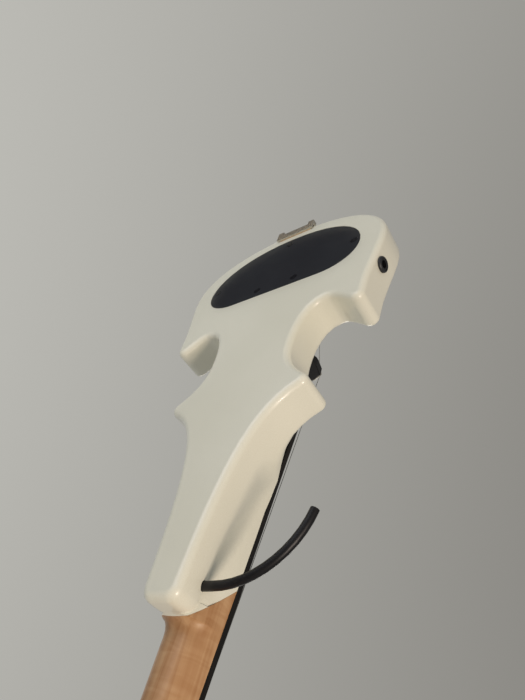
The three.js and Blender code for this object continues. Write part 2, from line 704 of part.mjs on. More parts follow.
// The neck's tenon, or with a gap the mortise that it sits in
const tenonBlock = (gap, above) => {
  const start = paintTop - TENON_DEPTH - OVERRUN - gap;
  const end = paintTop + TENON_LENGTH + gap;
  const halfWidth = TENON_WIDTH / 2 + gap;
  const section = (x) => {
    const bottom = seatHeight(x) - TENON_DEPTH - gap;
    const top = seatHeight(x) - SEAT_GAP + above;
    return [
      new THREE.Vector3(x, -halfWidth + TENON_CHAMFER, bottom),
      new THREE.Vector3(x, -halfWidth, bottom + TENON_CHAMFER),
      new THREE.Vector3(x, -halfWidth, top),
      new THREE.Vector3(x, halfWidth, top),
      new THREE.Vector3(x, halfWidth, bottom + TENON_CHAMFER),
      new THREE.Vector3(x, halfWidth - TENON_CHAMFER, bottom),
    ];
  };
  return loft([section(start), section(end)]);
};

// Scroll: levels that follow one spiral, each a full turn and wider than the one before
const scrollCentre = () => {
  const x = -STRING_LENGTH - SCROLL_SETBACK;
  return new THREE.Vector3(x, 0, seatHeight(x) - SCROLL_DROP);
};

const scrollLevel = ([startTurn, widthShare]) => {
  const centre = scrollCentre();
  const outline = [];
  for (let step = 0; step <= scrollStepsPerTurn; step += 1) {
    const turn = startTurn + step / scrollStepsPerTurn;
    const angle = -Math.PI / 2 - turn * 2 * Math.PI;
    const radius = SCROLL_RADIUS * (SCROLL_EYE_RADIUS / SCROLL_RADIUS) ** (turn / scrollTurns);
    outline.push([centre.x + radius * Math.cos(angle), centre.z + radius * Math.sin(angle)]);
  }
  return prismAcross(outline, widthShare * SCROLL_WIDTH, SCROLL_EDGE);
};

const scroll = () => {
  const centre = scrollCentre();
  const eye = cylinderZ(SCROLL_EYE_RADIUS, SCROLL_WIDTH, 0, 0, 0, scrollStepsPerTurn).rotateX(Math.PI / 2);
  return joined(...scrollShares.map(scrollLevel), eye.translate(centre.x, centre.y, centre.z));
};

const pegPlace = ({ setbackShare }) => {
  const x = -STRING_LENGTH - setbackShare * PEGBOX_LENGTH;
  return new THREE.Vector3(x, 0, seatHeight(x) - PEG_DROP);
};

const pegboxHalfWidth = ({ setbackShare }) => (
  lerp(PEGBOX_WIDTH_AT_NUT, PEGBOX_WIDTH_AT_SCROLL, setbackShare) / 2
);

const stringRadius = ({ gaugeShare }) => (gaugeShare * STRING_DIAMETER) / 2;
const windingY = ({ sideShare }) => sideShare * PEGBOX_CHANNEL_WIDTH;

const pegboxChannel = () => {
  const outline = channelShares.map(([alongShare, dropShare]) => {
    const x = -STRING_LENGTH - alongShare * PEGBOX_LENGTH;
    return [x, seatHeight(x) - dropShare * PEGBOX_DEPTH];
  });
  return prismAcross(outline, PEGBOX_CHANNEL_WIDTH);
};

const pegHoles = () => strings.map((string) => {
  const place = pegPlace(string);
  const hole = cylinderZ(PEG_RADIUS + SEAT_GAP, PEGBOX_WIDTH_AT_NUT + OVERRUN, 0, 0, 0, 14);
  return hole.rotateX(Math.PI / 2).translate(place.x, place.y, place.z);
});

const makeNeck = () => {
  const blank = joined(neckStock(), scroll());
  const carved = toSolid(cut(blank, pegboxChannel(), ...pegHoles()));
  const bare = carved.intersect(toSolid(paintSide(-GLUE_LINE)));
  return toGeometry(toSolid(tenonBlock(0, 0)).add(bare));
};

// Fingerboard and nut share one crowned section
const crownHeight = (halfWidth, across) => (
  FINGERBOARD_EDGE + sagitta(FINGERBOARD_CROWN_RADIUS, halfWidth) - sagitta(FINGERBOARD_CROWN_RADIUS, across)
);

const crownedSection = (x, bottom, lift) => {
  const halfWidth = fingerboardHalfWidth(x);
  const section = [new THREE.Vector3(x, -halfWidth, bottom), new THREE.Vector3(x, halfWidth, bottom)];
  for (let step = 0; step <= crownSteps; step += 1) {
    const across = lerp(halfWidth, -halfWidth, step / crownSteps);
    section.push(new THREE.Vector3(x, across, seatHeight(x) + crownHeight(halfWidth, across) + lift));
  }
  return section;
};

const fingerboardEnd = -STRING_LENGTH + FINGERBOARD_LENGTH;

const makeFingerboard = () => {
  const board = loft([-STRING_LENGTH + GLUE_LINE, fingerboardEnd].map((x) => crownedSection(x, seatHeight(x), 0)));
  const hollow = [fingerboardEnd - FINGERBOARD_HOLLOW_LENGTH, fingerboardEnd + OVERRUN].map((x) => {
    const halfWidth = fingerboardHalfWidth(x) - FINGERBOARD_HOLLOW_RIM;
    const deep = seatHeight(x) + FINGERBOARD_HOLLOW;
    return [
      new THREE.Vector3(x, -halfWidth, seatHeight(x) - OVERRUN),
      new THREE.Vector3(x, halfWidth, seatHeight(x) - OVERRUN),
      new THREE.Vector3(x, halfWidth - FINGERBOARD_HOLLOW, deep),
      new THREE.Vector3(x, FINGERBOARD_HOLLOW - halfWidth, deep),
    ];
  });
  return cut(board, loft(hollow));
};

const makeNut = () => loft([-STRING_LENGTH - NUT_LENGTH, -STRING_LENGTH].map((x) => {
  const bottom = seatHeight(x);
  return crownedSection(x, bottom, NUT_LIFT);
}));

// Cover outline, one half mirrored: a straight front, round ends and a tail curve
const coverPlace = ([alongShare, acrossShare]) => new THREE.Vector2(
  COVER_FRONT_X + alongShare * COVER_LENGTH,
  (acrossShare * coverWidthShare * LOWER_BOUT_WIDTH) / 2,
);

const knobPlace = ({ alongShare, acrossShare }) => [
  alongShare * BRIDGE_TO_TAIL,
  (acrossShare * LOWER_BOUT_WIDTH) / 2,
];

const coverOutline = (growth) => {
  const front = coverPlace([0, coverFrontShare]);
  const end = coverEndShares.map(coverPlace);
  const tail = coverTailShares.map(coverPlace);
  const endCurve = new THREE.CubicBezierCurve(front, ...end).getPoints(coverSteps);
  const tailCurve = new THREE.CubicBezierCurve(end[2], ...tail).getPoints(coverSteps).slice(1);
  const half = [...endCurve, ...tailCurve];
  const loop = [...half, ...half.slice(0, -1).reverse().map(({ x, y }) => new THREE.Vector2(x, -y))];
  return loop.map((point, index) => {
    const before = loop[(index + loop.length - 1) % loop.length];
    const after = loop[(index + 1) % loop.length];
    const tangent = after.clone().sub(before).normalize();
    return new THREE.Vector2(point.x - tangent.y * growth, point.y + tangent.x * growth);
  });
};

const coverPrism = (growth, from, to) => {
  const shape = new THREE.Shape(coverOutline(growth));
  return new THREE.ExtrudeGeometry(shape, { depth: to - from, bevelEnabled: false }).translate(0, 0, from);
};

const coverScrewPlaces = coverScrewShares.map(coverPlace);
const screwHeadSeat = COVER_SCREW_HEAD_HEIGHT + SEAT_GAP;

const makeCover = () => cut(
  coverPrism(0, 0, COVER_THICKNESS),
  ...coverScrewPlaces.map(({ x, y }) => cylinderZ(COVER_SCREW_RADIUS + SEAT_GAP, COVER_THICKNESS * 3, x, y, 0, 12)),
  ...coverScrewPlaces.map(({ x, y }) => cylinderZ(COVER_SCREW_HEAD_RADIUS + SEAT_GAP, screwHeadSeat * 2, x, y, 0, 14)),
);

const coverScrew = () => turnedZ([
  [0, 0],
  [COVER_SCREW_HEAD_RADIUS, 0],
  [COVER_SCREW_HEAD_RADIUS, COVER_SCREW_HEAD_HEIGHT],
  [COVER_SCREW_RADIUS, COVER_SCREW_HEAD_HEIGHT],
  [COVER_SCREW_RADIUS, COVER_SCREW_LENGTH],
  [0, COVER_SCREW_LENGTH],
], 12);

// The hollow behind the cover, less the posts that carry the screws and the board
const boardPosts = [[-1, -1], [-1, 1], [1, -1], [1, 1]].map(([a, b]) => new THREE.Vector2(
  BOARD_X + a * (BOARD_LENGTH / 2 - BOARD_BOSS_RADIUS),
  BOARD_Y + b * (BOARD_WIDTH / 2 - BOARD_BOSS_RADIUS),
));
const boardTop = CAVITY_DEPTH - BOARD_BOSS_HEIGHT - SEAT_GAP;

const cavity = () => cut(
  coverPrism(-COVER_LEDGE, -OVERRUN, CAVITY_DEPTH),
  ...coverScrewPlaces.map(({ x, y }) => cylinderZ(COVER_POST_RADIUS, CAVITY_DEPTH * 3, x, y, 0, 14)),
  ...boardPosts.map(({ x, y }) => {
    const middle = CAVITY_DEPTH - BOARD_BOSS_HEIGHT / 2 + OVERRUN / 2;
    return cylinderZ(BOARD_BOSS_RADIUS, BOARD_BOSS_HEIGHT + OVERRUN, x, y, middle, 10);
  }),
);

// Where the treble wall of the body stands, from the outline
const outlinePoints = bodyHalfOutline().points;
const wallAcross = (x) => {
  const widest = outlinePoints.findIndex((point, index) => index > 0 && point.x > x);
  const [before, after] = [outlinePoints[widest - 1], outlinePoints[widest]];
  return lerp(before.y, after.y, (x - before.x) / (after.x - before.x));
};

// Output jack group, in the middle of a facet: local Z runs out of the wall
const jackFacet = outlinePoints.findLastIndex((point) => point.x < JACK_X && point.y > LOWER_BOUT_WIDTH / 4);
const jackMiddle = outlinePoints[jackFacet].clone().lerp(outlinePoints[jackFacet + 1], 1 / 2);
const jackAlong = outlinePoints[jackFacet + 1].clone().sub(outlinePoints[jackFacet]);
const jackGroup = new THREE.Group();
jackGroup.position.set(jackMiddle.x, jackMiddle.y, JACK_HEIGHT);
jackGroup.rotation.set(-Math.PI / 2, 0, jackAlong.angle(), 'ZYX');
jackGroup.updateMatrix();
violin.add(jackGroup);

const jackHole = () => joined(
  cylinderZ(JACK_BUSH_RADIUS + SEAT_GAP, JACK_WALL * 3, 0, 0, 0, 16),
  cylinderZ(JACK_BODY_RADIUS + SEAT_GAP, JACK_BODY_LENGTH + OVERRUN, 0, 0, -JACK_WALL - (JACK_BODY_LENGTH + OVERRUN) / 2, 16),
).applyMatrix4(jackGroup.matrix);

const makeJack = () => cut(
  turnedZ([
    [0, -JACK_WALL - SEAT_GAP - JACK_BODY_LENGTH],
    [JACK_BODY_RADIUS, -JACK_WALL - SEAT_GAP - JACK_BODY_LENGTH],
    [JACK_BODY_RADIUS, -JACK_WALL - SEAT_GAP],
    [JACK_BUSH_RADIUS, -JACK_WALL - SEAT_GAP],
    [JACK_BUSH_RADIUS, JACK_RING_LENGTH],
    [0, JACK_RING_LENGTH],
  ], 16),
  cylinderZ(JACK_BORE_RADIUS, JACK_BODY_LENGTH + JACK_WALL, 0, 0, -(JACK_BODY_LENGTH + JACK_WALL) / 2 + JACK_RING_LENGTH + OVERRUN, 16),
);

const ringProfile = (inner, outer, from, to, round = 0) => [
  [inner, from],
  [outer, from],
  [outer, to - round],
  [outer - round, to],
  [inner, to],
  [inner, from],
];

const makeJackRing = () => turnedZ(
  ringProfile(JACK_BUSH_RADIUS + SEAT_GAP, JACK_RING_RADIUS, SEAT_GAP, JACK_RING_LENGTH + SEAT_GAP, JACK_RING_LENGTH / 3),
  20,
);

// Hand guide: straight out of the wall, then a bend towards the tail
const guideWall = wallAcross(GUIDE_X);

class GuidePath extends THREE.Curve {
  constructor(from, to) {
    super();
    this.from = from;
    this.to = to;
  }

  getPoint(share) {
    const distance = lerp(this.from, this.to, share);
    const turned = Math.max(0, distance - GUIDE_STRAIGHT) / GUIDE_BEND_RADIUS;
    const x = GUIDE_X + GUIDE_BEND_RADIUS * (1 - Math.cos(turned));
    const y = guideWall + Math.min(distance, GUIDE_STRAIGHT) + GUIDE_BEND_RADIUS * Math.sin(turned);
    return new THREE.Vector3(x, y, GUIDE_HEIGHT);
  }
}

const guideLength = GUIDE_STRAIGHT + GUIDE_BEND_RADIUS * THREE.MathUtils.degToRad(guideBendDegrees);

const guideTube = (radius, from, to, sides) => {
  const circle = new THREE.EllipseCurve(0, 0, radius, radius);
  const section = new THREE.Shape(circle.getPoints(sides).slice(0, -1));
  const settings = { steps: guideSteps, extrudePath: new GuidePath(from, to), bevelEnabled: false };
  return new THREE.ExtrudeGeometry(section, settings);
};

const guideBore = (radius, depth) => {
  const length = depth + OVERRUN;
  const bore = cylinderZ(radius, length, 0, 0, 0, 14).rotateX(Math.PI / 2);
  return bore.translate(GUIDE_X, guideWall - depth + length / 2, GUIDE_HEIGHT);
};

const guideSocket = () => joined(
  guideBore(GUIDE_ROD_RADIUS + SEAT_GAP, GUIDE_SOCKET_DEPTH + SEAT_GAP),
  guideBore(GUIDE_SLEEVE_RADIUS + SEAT_GAP, GUIDE_COUNTERBORE + SEAT_GAP),
);

// Tail fittings
const tailX = BRIDGE_TO_TAIL;
const saddlePocket = () => boxAt(
  (TAIL_SADDLE_LENGTH + SEAT_GAP) * 2,
  TAIL_SADDLE_WIDTH + 2 * SEAT_GAP,
  (TAIL_SADDLE_DEPTH + SEAT_GAP) * 2,
  tailX,
  0,
  BODY_THICKNESS,
);

const buttonHole = () => {
  const length = BUTTON_SHANK_LENGTH + SEAT_GAP + OVERRUN;
  const hole = cylinderZ(BUTTON_SHANK_RADIUS + SEAT_GAP, length, 0, 0, 0, 14).rotateY(Math.PI / 2);
  return hole.translate(tailX - BUTTON_SHANK_LENGTH + length / 2, 0, BUTTON_HEIGHT);
};

// Where a string crosses the nut, the bridge and the fine tuners
const stringShare = (index) => index / (strings.length - 1) - 1 / 2;
const bridgeAngle = (index) => THREE.MathUtils.degToRad(bridgeSpreadDegrees * stringShare(index));
const bridgeCentreHeight = BRIDGE_TOP_HEIGHT - BRIDGE_CROWN_RADIUS;

const bridgePlace = (angle, radius) => new THREE.Vector3(
  0,
  radius * Math.sin(angle),
  bridgeCentreHeight + radius * Math.cos(angle),
);

// Tailpiece group: local X runs down its length, and Z = 0 is the middle of its top
const tailpiece = new THREE.Group();
tailpiece.position.set(TAILPIECE_SETBACK, 0, TAILPIECE_HEIGHT_AT_STRINGS);
tailpiece.rotation.y = Math.asin((TAILPIECE_HEIGHT_AT_STRINGS - TAILPIECE_HEIGHT_AT_TAIL) / TAILPIECE_LENGTH);
tailpiece.updateMatrix();
violin.add(tailpiece);

const tunerY = (index) => STRING_SPREAD_AT_TUNERS * stringShare(index);
const ballPlace = (index) => new THREE.Vector3(
  LEVER_PIVOT_SETBACK + leverBallShare[0] * LEVER_PIVOT_DROP,
  tunerY(index),
  (leverBallShare[1] - 1) * LEVER_PIVOT_DROP,
);

// A cord: a tube through points, with a section square to the path at each
const cord = (points, radius, sides) => loft(points.map((point, index) => {
  const before = points[Math.max(0, index - 1)];
  const after = points[Math.min(points.length - 1, index + 1)];
  const along = after.clone().sub(point).normalize().add(point.clone().sub(before).normalize()).normalize();
  const across = new THREE.Vector3(along.z, 0, -along.x);
  if (across.length() < Math.abs(along.y)) {
    across.set(-1, 0, 0);
  }
  across.addScaledVector(along, -across.dot(along)).normalize();
  const up = along.clone().cross(across);
  const section = [];
  for (let step = 0; step < sides; step += 1) {
    const angle = (2 * Math.PI * step) / sides;
    const offset = across.clone().multiplyScalar(Math.cos(angle)).addScaledVector(up, Math.sin(angle));
    section.push(point.clone().addScaledVector(offset, radius));
  }
  return section;
}));

// String: off its winding, over the nut and the bridge, to its lever
const makeString = (string, index) => {
  const radius = stringRadius(string);
  const lift = radius + GLUE_LINE;
  const peg = pegPlace(string);
  const start = new THREE.Vector3(peg.x, windingY(string), peg.z + windingRadius(string) + radius + SEAT_GAP);
  const nutY = STRING_SPREAD_AT_NUT * stringShare(index);
  const nutHalfWidth = fingerboardHalfWidth(-STRING_LENGTH);
  const nutTop = NUT_LIFT + crownHeight(nutHalfWidth, nutY) + lift;
  const nutBack = new THREE.Vector3(-STRING_LENGTH - NUT_LENGTH, nutY, seatHeight(-STRING_LENGTH - NUT_LENGTH) + nutTop);
  const nutFront = new THREE.Vector3(-STRING_LENGTH, nutY, seatHeight(-STRING_LENGTH) + nutTop);
  const bridge = bridgePlace(bridgeAngle(index), BRIDGE_CROWN_RADIUS + radius + SEAT_GAP);
  const ball = ballPlace(index).applyMatrix4(tailpiece.matrix);
  const back = bridge.clone().sub(ball).normalize();
  const end = ball.addScaledVector(back, LEVER_BALL_RADIUS + SEAT_GAP);
  return cord([start, nutBack, nutFront, bridge, end], radius, 6);
};

// Pegs: local Z runs to the head
const windingRadius = (string) => PEG_RADIUS + GLUE_LINE + 2 * stringRadius(string);

const makePeg = (string) => {
  const halfWidth = pegboxHalfWidth(string);
  const collar = halfWidth + PEG_STANDOFF;
  const head = collar + PEG_COLLAR_LENGTH + PEG_NECK_LENGTH;
  const stem = turnedZ([
    [0, -halfWidth - PEG_STUB],
    [PEG_RADIUS - PEG_EDGE, -halfWidth - PEG_STUB],
    [PEG_RADIUS, -halfWidth - PEG_STUB + PEG_EDGE],
    [PEG_RADIUS, collar],
    [PEG_COLLAR_RADIUS, collar + PEG_COLLAR_LENGTH / 3],
    [PEG_COLLAR_RADIUS, collar + PEG_COLLAR_LENGTH],
    [PEG_NECK_RADIUS, collar + PEG_COLLAR_LENGTH],
    [PEG_NECK_RADIUS, head + PEG_HEAD_LENGTH / 4],
    [0, head + PEG_HEAD_LENGTH / 4],
  ], 14);
  const outline = new THREE.EllipseCurve(0, 0, PEG_HEAD_WIDTH / 2 - PEG_EDGE, PEG_HEAD_LENGTH / 2 - PEG_EDGE);
  const plate = new THREE.ExtrudeGeometry(new THREE.Shape(outline.getPoints(18).slice(0, -1)), {
    depth: PEG_HEAD_THICKNESS - 2 * PEG_EDGE,
    bevelSize: PEG_EDGE,
    bevelThickness: PEG_EDGE,
    bevelSegments: 1,
  });
  plate.translate(0, 0, PEG_EDGE - PEG_HEAD_THICKNESS / 2).rotateX(Math.PI / 2);
  return joined(stem, plate.translate(0, 0, head + PEG_HEAD_LENGTH / 2));
};

const makeWinding = (string) => {
  const outer = windingRadius(string);
  const pitch = WINDING_LENGTH / windingTurns;
  const profile = [];
  for (let turn = 0; turn < windingTurns; turn += 1) {
    const from = -WINDING_LENGTH / 2 + turn * pitch;
    profile.push([outer - stringRadius(string), from], [outer, from + pitch / 2]);
  }
  const inner = PEG_RADIUS + GLUE_LINE;
  const start = [inner, -WINDING_LENGTH / 2];
  return turnedZ([start, ...profile, [inner, WINDING_LENGTH / 2], start], 14);
};

// Bridge: an arched plate across the strings with a flat for each saddle
const makeBridge = () => {
  const base = BODY_THICKNESS + SEAT_GAP;
  const height = BRIDGE_TOP_HEIGHT - base;
  const side = bridgeShares.map(([acrossShare, upShare]) => [
    (acrossShare * BRIDGE_WIDTH) / 2,
    base + upShare * height,
  ]);
  const step = THREE.MathUtils.degToRad(bridgeSpreadDegrees) / (strings.length - 1);
  const flat = (BRIDGE_CROWN_RADIUS - SADDLE_HEIGHT - GLUE_LINE) / Math.cos(step / 2);
  const crown = [2, 1, 0].map((count) => bridgePlace(count * step, flat)).map(({ y, z }) => [y, z]);
  const arch = [0, 1 / 6, 1 / 3, 1 / 2].map((share) => {
    const angle = share * Math.PI;
    return [(BRIDGE_ARCH_WIDTH / 2) * Math.cos(angle), base + BRIDGE_ARCH_HEIGHT * Math.sin(angle)];
  });
  const half = [...arch.reverse(), ...side, ...crown];
  const other = half.slice(1, -1).reverse().map(([y, z]) => [-y, z]);
  return prism([...half, ...other], BRIDGE_THICKNESS, BRIDGE_EDGE).rotateX(Math.PI / 2).rotateZ(Math.PI / 2);
};

const makeSaddle = () => {
  const half = SADDLE_LENGTH / 2;
  const outline = [
    [-half, 0],
    [half, 0],
    [half, SADDLE_HEIGHT - SADDLE_ROUND],
    [SADDLE_ROUND / 3, SADDLE_HEIGHT],
    [-SADDLE_ROUND / 3, SADDLE_HEIGHT],
    [-half, SADDLE_HEIGHT - SADDLE_ROUND],
  ];
  return prismAcross(outline, SADDLE_WIDTH);
};

// Tailpiece: a crowned plate, hollow below, with lugs for the pin of the levers
const tailpieceTop = (y) => -TAILPIECE_CROWN * ((2 * y) / TAILPIECE_WIDTH) ** 2;

const tailpieceSection = (x, halfWidth, shift, bottom) => {
  const section = [new THREE.Vector3(x, -halfWidth, bottom), new THREE.Vector3(x, halfWidth, bottom)];
  for (let step = 0; step <= crownSteps; step += 1) {
    const y = lerp(halfWidth, -halfWidth, step / crownSteps);
    section.push(new THREE.Vector3(x, y, tailpieceTop(y) - shift));
  }
  return section;
};

const tailpieceLoft = (inset, shift, shares) => loft(shares.map(([alongShare, widthShare]) => tailpieceSection(
  alongShare * TAILPIECE_LENGTH,
  (widthShare * TAILPIECE_WIDTH) / 2 - inset,
  shift,
  shift > 0 ? -TAILPIECE_DEPTH * 2 : -TAILPIECE_DEPTH,
)));

const makeTailpiece = () => {
  const shell = cut(
    tailpieceLoft(0, 0, tailpieceShares),
    tailpieceLoft(TAILPIECE_WALL, TAILPIECE_WALL, tailpieceHollowShares),
  );
  const lugs = [-1, 0, 1].map((side) => boxAt(
    TUNER_LUG_LENGTH,
    TUNER_LUG_THICKNESS,
    LEVER_PIVOT_DROP,
    LEVER_PIVOT_SETBACK,
    side * TUNER_LUG_SPREAD,
    -LEVER_PIVOT_DROP / 2 - TUNER_LUG_LENGTH / 3,
  ));
  const pinBore = cylinderZ(TUNER_PIN_RADIUS + GLUE_LINE, TAILPIECE_WIDTH, 0, 0, 0, 12).rotateX(Math.PI / 2);
  const cordBores = [-1, 1].map((side) => {
    const bore = cylinderZ(TAIL_LOOP_RADIUS + SEAT_GAP, TAIL_LOOP_BORE * 2, 0, 0, 0, 10).rotateY(Math.PI / 2);
    return bore.translate(TAILPIECE_LENGTH, side * tailLoopY, -TAIL_LOOP_DROP);
  });
  return cut(
    joined(shell, ...lugs),
    pinBore.translate(LEVER_PIVOT_SETBACK, 0, -LEVER_PIVOT_DROP),
    ...cordBores,
    ...strings.map((_, index) => boxAt(
      LEVER_SLOT_LENGTH,
      LEVER_SLOT_WIDTH,
      TAILPIECE_DEPTH * 2,
      LEVER_SLOT_START + LEVER_SLOT_LENGTH / 2,
      tunerY(index),
      0,
    )),
    ...strings.map((_, index) => cylinderZ(
      TUNER_SCREW_RADIUS + SEAT_GAP,
      TAILPIECE_DEPTH * 2,
      TUNER_SCREW_SETBACK,
      tunerY(index),
      0,
      12,
    )),
  );
};

// Fine tuner lever: a bell crank on the pin, and the string's ball in its hook
const makeLever = (_, index) => {
  const outline = leverShares.map(([across, up]) => [across * LEVER_PIVOT_DROP, up * LEVER_PIVOT_DROP]);
  const arm = prismAcross(outline, LEVER_THICKNESS);
  const [ballX, ballZ] = leverBallShare.map((share) => share * LEVER_PIVOT_DROP);
  const ball = new THREE.SphereGeometry(LEVER_BALL_RADIUS, 10, 8).rotateX(Math.PI / 2).translate(ballX, 0, ballZ);
  const eye = cylinderZ(TUNER_PIN_RADIUS + SEAT_GAP, LEVER_THICKNESS * 2, 0, 0, 0, 12).rotateX(Math.PI / 2);
  const lever = cut(joined(arm, ball), eye);
  return lever.translate(LEVER_PIVOT_SETBACK, tunerY(index), -LEVER_PIVOT_DROP);
};

const leverArmTop = (leverShares[4][1] - 1) * LEVER_PIVOT_DROP;

const makeTunerScrew = (_, index) => {
  const headTop = TUNER_HEAD_STANDOFF + TUNER_HEAD_HEIGHT;
  const screw = turnedZ([
    [0, leverArmTop + SEAT_GAP],
    [TUNER_SCREW_RADIUS - SEAT_GAP, leverArmTop + SEAT_GAP],
    [TUNER_SCREW_RADIUS, leverArmTop + TUNER_SCREW_RADIUS],
    [TUNER_SCREW_RADIUS, TUNER_HEAD_STANDOFF],
    [TUNER_HEAD_RADIUS, TUNER_HEAD_STANDOFF],
    [TUNER_HEAD_RADIUS, headTop - TUNER_SCREW_RADIUS / 2],
    [TUNER_HEAD_RADIUS - TUNER_SCREW_RADIUS / 2, headTop],
    [0, headTop],
  ], 14);
  return screw.translate(TUNER_SCREW_SETBACK, tunerY(index), 0);
};

const makeTunerPin = () => {
  const length = 2 * TUNER_LUG_SPREAD + TUNER_LUG_THICKNESS;
  const pin = cylinderZ(TUNER_PIN_RADIUS, length, 0, 0, 0, 12).rotateX(Math.PI / 2);
  return pin.translate(LEVER_PIVOT_SETBACK, 0, -LEVER_PIVOT_DROP);
};

// Tail end: saddle, button, and the loop that ties the tailpiece to the button
const saddleTop = BODY_THICKNESS + TAIL_SADDLE_RISE;

const makeTailSaddle = () => {
  const round = TAIL_SADDLE_RISE / 2;
  const bottom = BODY_THICKNESS - TAIL_SADDLE_DEPTH;
  return prismAcross([
    [tailX - TAIL_SADDLE_LENGTH, bottom],
    [tailX, bottom],
    [tailX, saddleTop - round],
    [tailX - round, saddleTop],
    [tailX - TAIL_SADDLE_LENGTH + round, saddleTop],
    [tailX - TAIL_SADDLE_LENGTH, saddleTop - round],
  ], TAIL_SADDLE_WIDTH);
};

const makeButton = () => {
  const face = SEAT_GAP;
  const groove = face + BUTTON_FLANGE;
  const head = groove + BUTTON_GROOVE_LENGTH;
  const button = turnedZ([
    [0, -BUTTON_SHANK_LENGTH],
    [BUTTON_SHANK_RADIUS, -BUTTON_SHANK_LENGTH],
    [BUTTON_SHANK_RADIUS, face],
    [BUTTON_HEAD_RADIUS - BUTTON_FLANGE, face],
    [BUTTON_HEAD_RADIUS - BUTTON_FLANGE, groove],
    [BUTTON_GROOVE_RADIUS, groove],
    [BUTTON_GROOVE_RADIUS, head],
    [BUTTON_HEAD_RADIUS, head],
    [BUTTON_HEAD_RADIUS, head + BUTTON_HEAD_LENGTH / 2],
    [BUTTON_HEAD_RADIUS / 2, head + BUTTON_HEAD_LENGTH],
    [0, head + BUTTON_HEAD_LENGTH],
  ], 20);
  return button.rotateY(Math.PI / 2).translate(tailX, 0, BUTTON_HEIGHT);
};

const makeTailLoop = () => {
  const radius = tailLoopY;
  const lift = saddleTop + TAIL_LOOP_RADIUS + SEAT_GAP;
  const dropX = tailX + SEAT_GAP + BUTTON_FLANGE + BUTTON_GROOVE_LENGTH / 2;
  const inside = new THREE.Vector3(TAILPIECE_LENGTH - TAIL_LOOP_BORE + SEAT_GAP * 2, radius, -TAIL_LOOP_DROP);
  const mouth = new THREE.Vector3(TAILPIECE_LENGTH + SEAT_GAP, radius, -TAIL_LOOP_DROP);
  const lead = [
    inside.applyMatrix4(tailpiece.matrix),
    mouth.applyMatrix4(tailpiece.matrix),
    new THREE.Vector3(tailX - TAIL_SADDLE_LENGTH + TAIL_SADDLE_RISE / 2, radius, lift),
    new THREE.Vector3(tailX - TAIL_SADDLE_RISE / 2, radius, lift),
    new THREE.Vector3(dropX - TAIL_LOOP_RADIUS / 2, radius, saddleTop - TAIL_SADDLE_RISE / 4),
    new THREE.Vector3(dropX, radius, BODY_THICKNESS - TAIL_SADDLE_RISE / 2),
  ];
  const round = [];
  for (let step = 0; step <= 8; step += 1) {
    const angle = (Math.PI * step) / 8;
    round.push(new THREE.Vector3(dropX, radius * Math.cos(angle), BUTTON_HEIGHT - radius * Math.sin(angle)));
  }
  const back = lead.toReversed().map(({ x, y, z }) => new THREE.Vector3(x, -y, z));
  return cord([...lead, ...round, ...back], TAIL_LOOP_RADIUS, 8);
};

// Chin rest: a dished cup on the bass side with an arm across the tailpiece
const clampX = tailX + CLAMP_STANDOFF + CLAMP_BARREL_RADIUS;
const clampYs = [CLAMP_SHIFT - CLAMP_SPREAD / 2, CLAMP_SHIFT + CLAMP_SPREAD / 2];
const chinrestRear = clampX + CLAMP_LUG_RADIUS;
const chinrestBottom = BODY_THICKNESS + CHINREST_FOOT_HEIGHT;
const corkTop = BODY_THICKNESS + GLUE_LINE + CORK_THICKNESS;

const chinrestPlan = () => {
  const corners = chinrestShares.map(([alongShare, acrossShare]) => new THREE.Vector3(
    chinrestRear - alongShare * CHINREST_LENGTH,
    acrossShare * CHINREST_WIDTH - CHINREST_BASS_REACH,
    0,
  ));
  const curve = new THREE.CatmullRomCurve3(corners, true, 'centripetal');
  return curve.getPoints(44).slice(0, -1).map(({ x, y }) => [x, y]);
};

const chinrestFeet = (height, base, inset) => clampYs.map((y) => boxAt(
  CHINREST_FOOT_LENGTH - 2 * inset,
  CHINREST_FOOT_WIDTH - 2 * inset,
  height,
  tailX - CHINREST_FOOT_LENGTH / 2,
  y + Math.sign(y) * CHINREST_FOOT_SHIFT,
  base + height / 2,
));

const makeChinrest = () => {
  const height = CHINREST_LIFT + CHINREST_ARM_THICKNESS - CHINREST_FOOT_HEIGHT;
  const plate = prism(chinrestPlan(), height, CHINREST_EDGE).translate(0, 0, chinrestBottom + height / 2);
  const top = chinrestBottom + height;
  const tunnelLength = chinrestRear - tailX + TAIL_SADDLE_LENGTH;
  const tunnel = boxAt(
    CHINREST_LENGTH,
    CHINREST_TUNNEL_WIDTH,
    CHINREST_LIFT * 2,
    chinrestRear - tunnelLength - CHINREST_LENGTH / 2,
    0,
    BODY_THICKNESS,
  );
  const dish = [];
  for (let step = 0; step <= 6; step += 1) {
    const across = (CHINREST_DISH_WIDTH / 2) * (step / 6);
    const rise = sagitta(CHINREST_DISH_RADIUS, across);
    dish.push([across, rise]);
  }
  const rim = dish[dish.length - 1];
  const dishTool = turnedZ([...dish, [rim[0], rim[1] + OVERRUN], [0, rim[1] + OVERRUN]], 32);
  dishTool.translate(CHINREST_DISH_X, CHINREST_DISH_Y, top - rim[1]);
  const cup = cut(plate, tunnel, dishTool);
  const footBase = corkTop + GLUE_LINE;
  return joined(cup, ...chinrestFeet(chinrestBottom + CHINREST_EDGE - footBase, footBase, 0));
};

// Clamp: a bracket and a foot, drawn together by two barrels on their posts
const post = (from, to, y) => cylinderZ(CLAMP_POST_RADIUS, to - from, clampX, y, (from + to) / 2, 12);
const barrelBase = CLAMP_MIDDLE_HEIGHT - CLAMP_BARREL_LENGTH / 2;
const barrelTop = CLAMP_MIDDLE_HEIGHT + CLAMP_BARREL_LENGTH / 2;

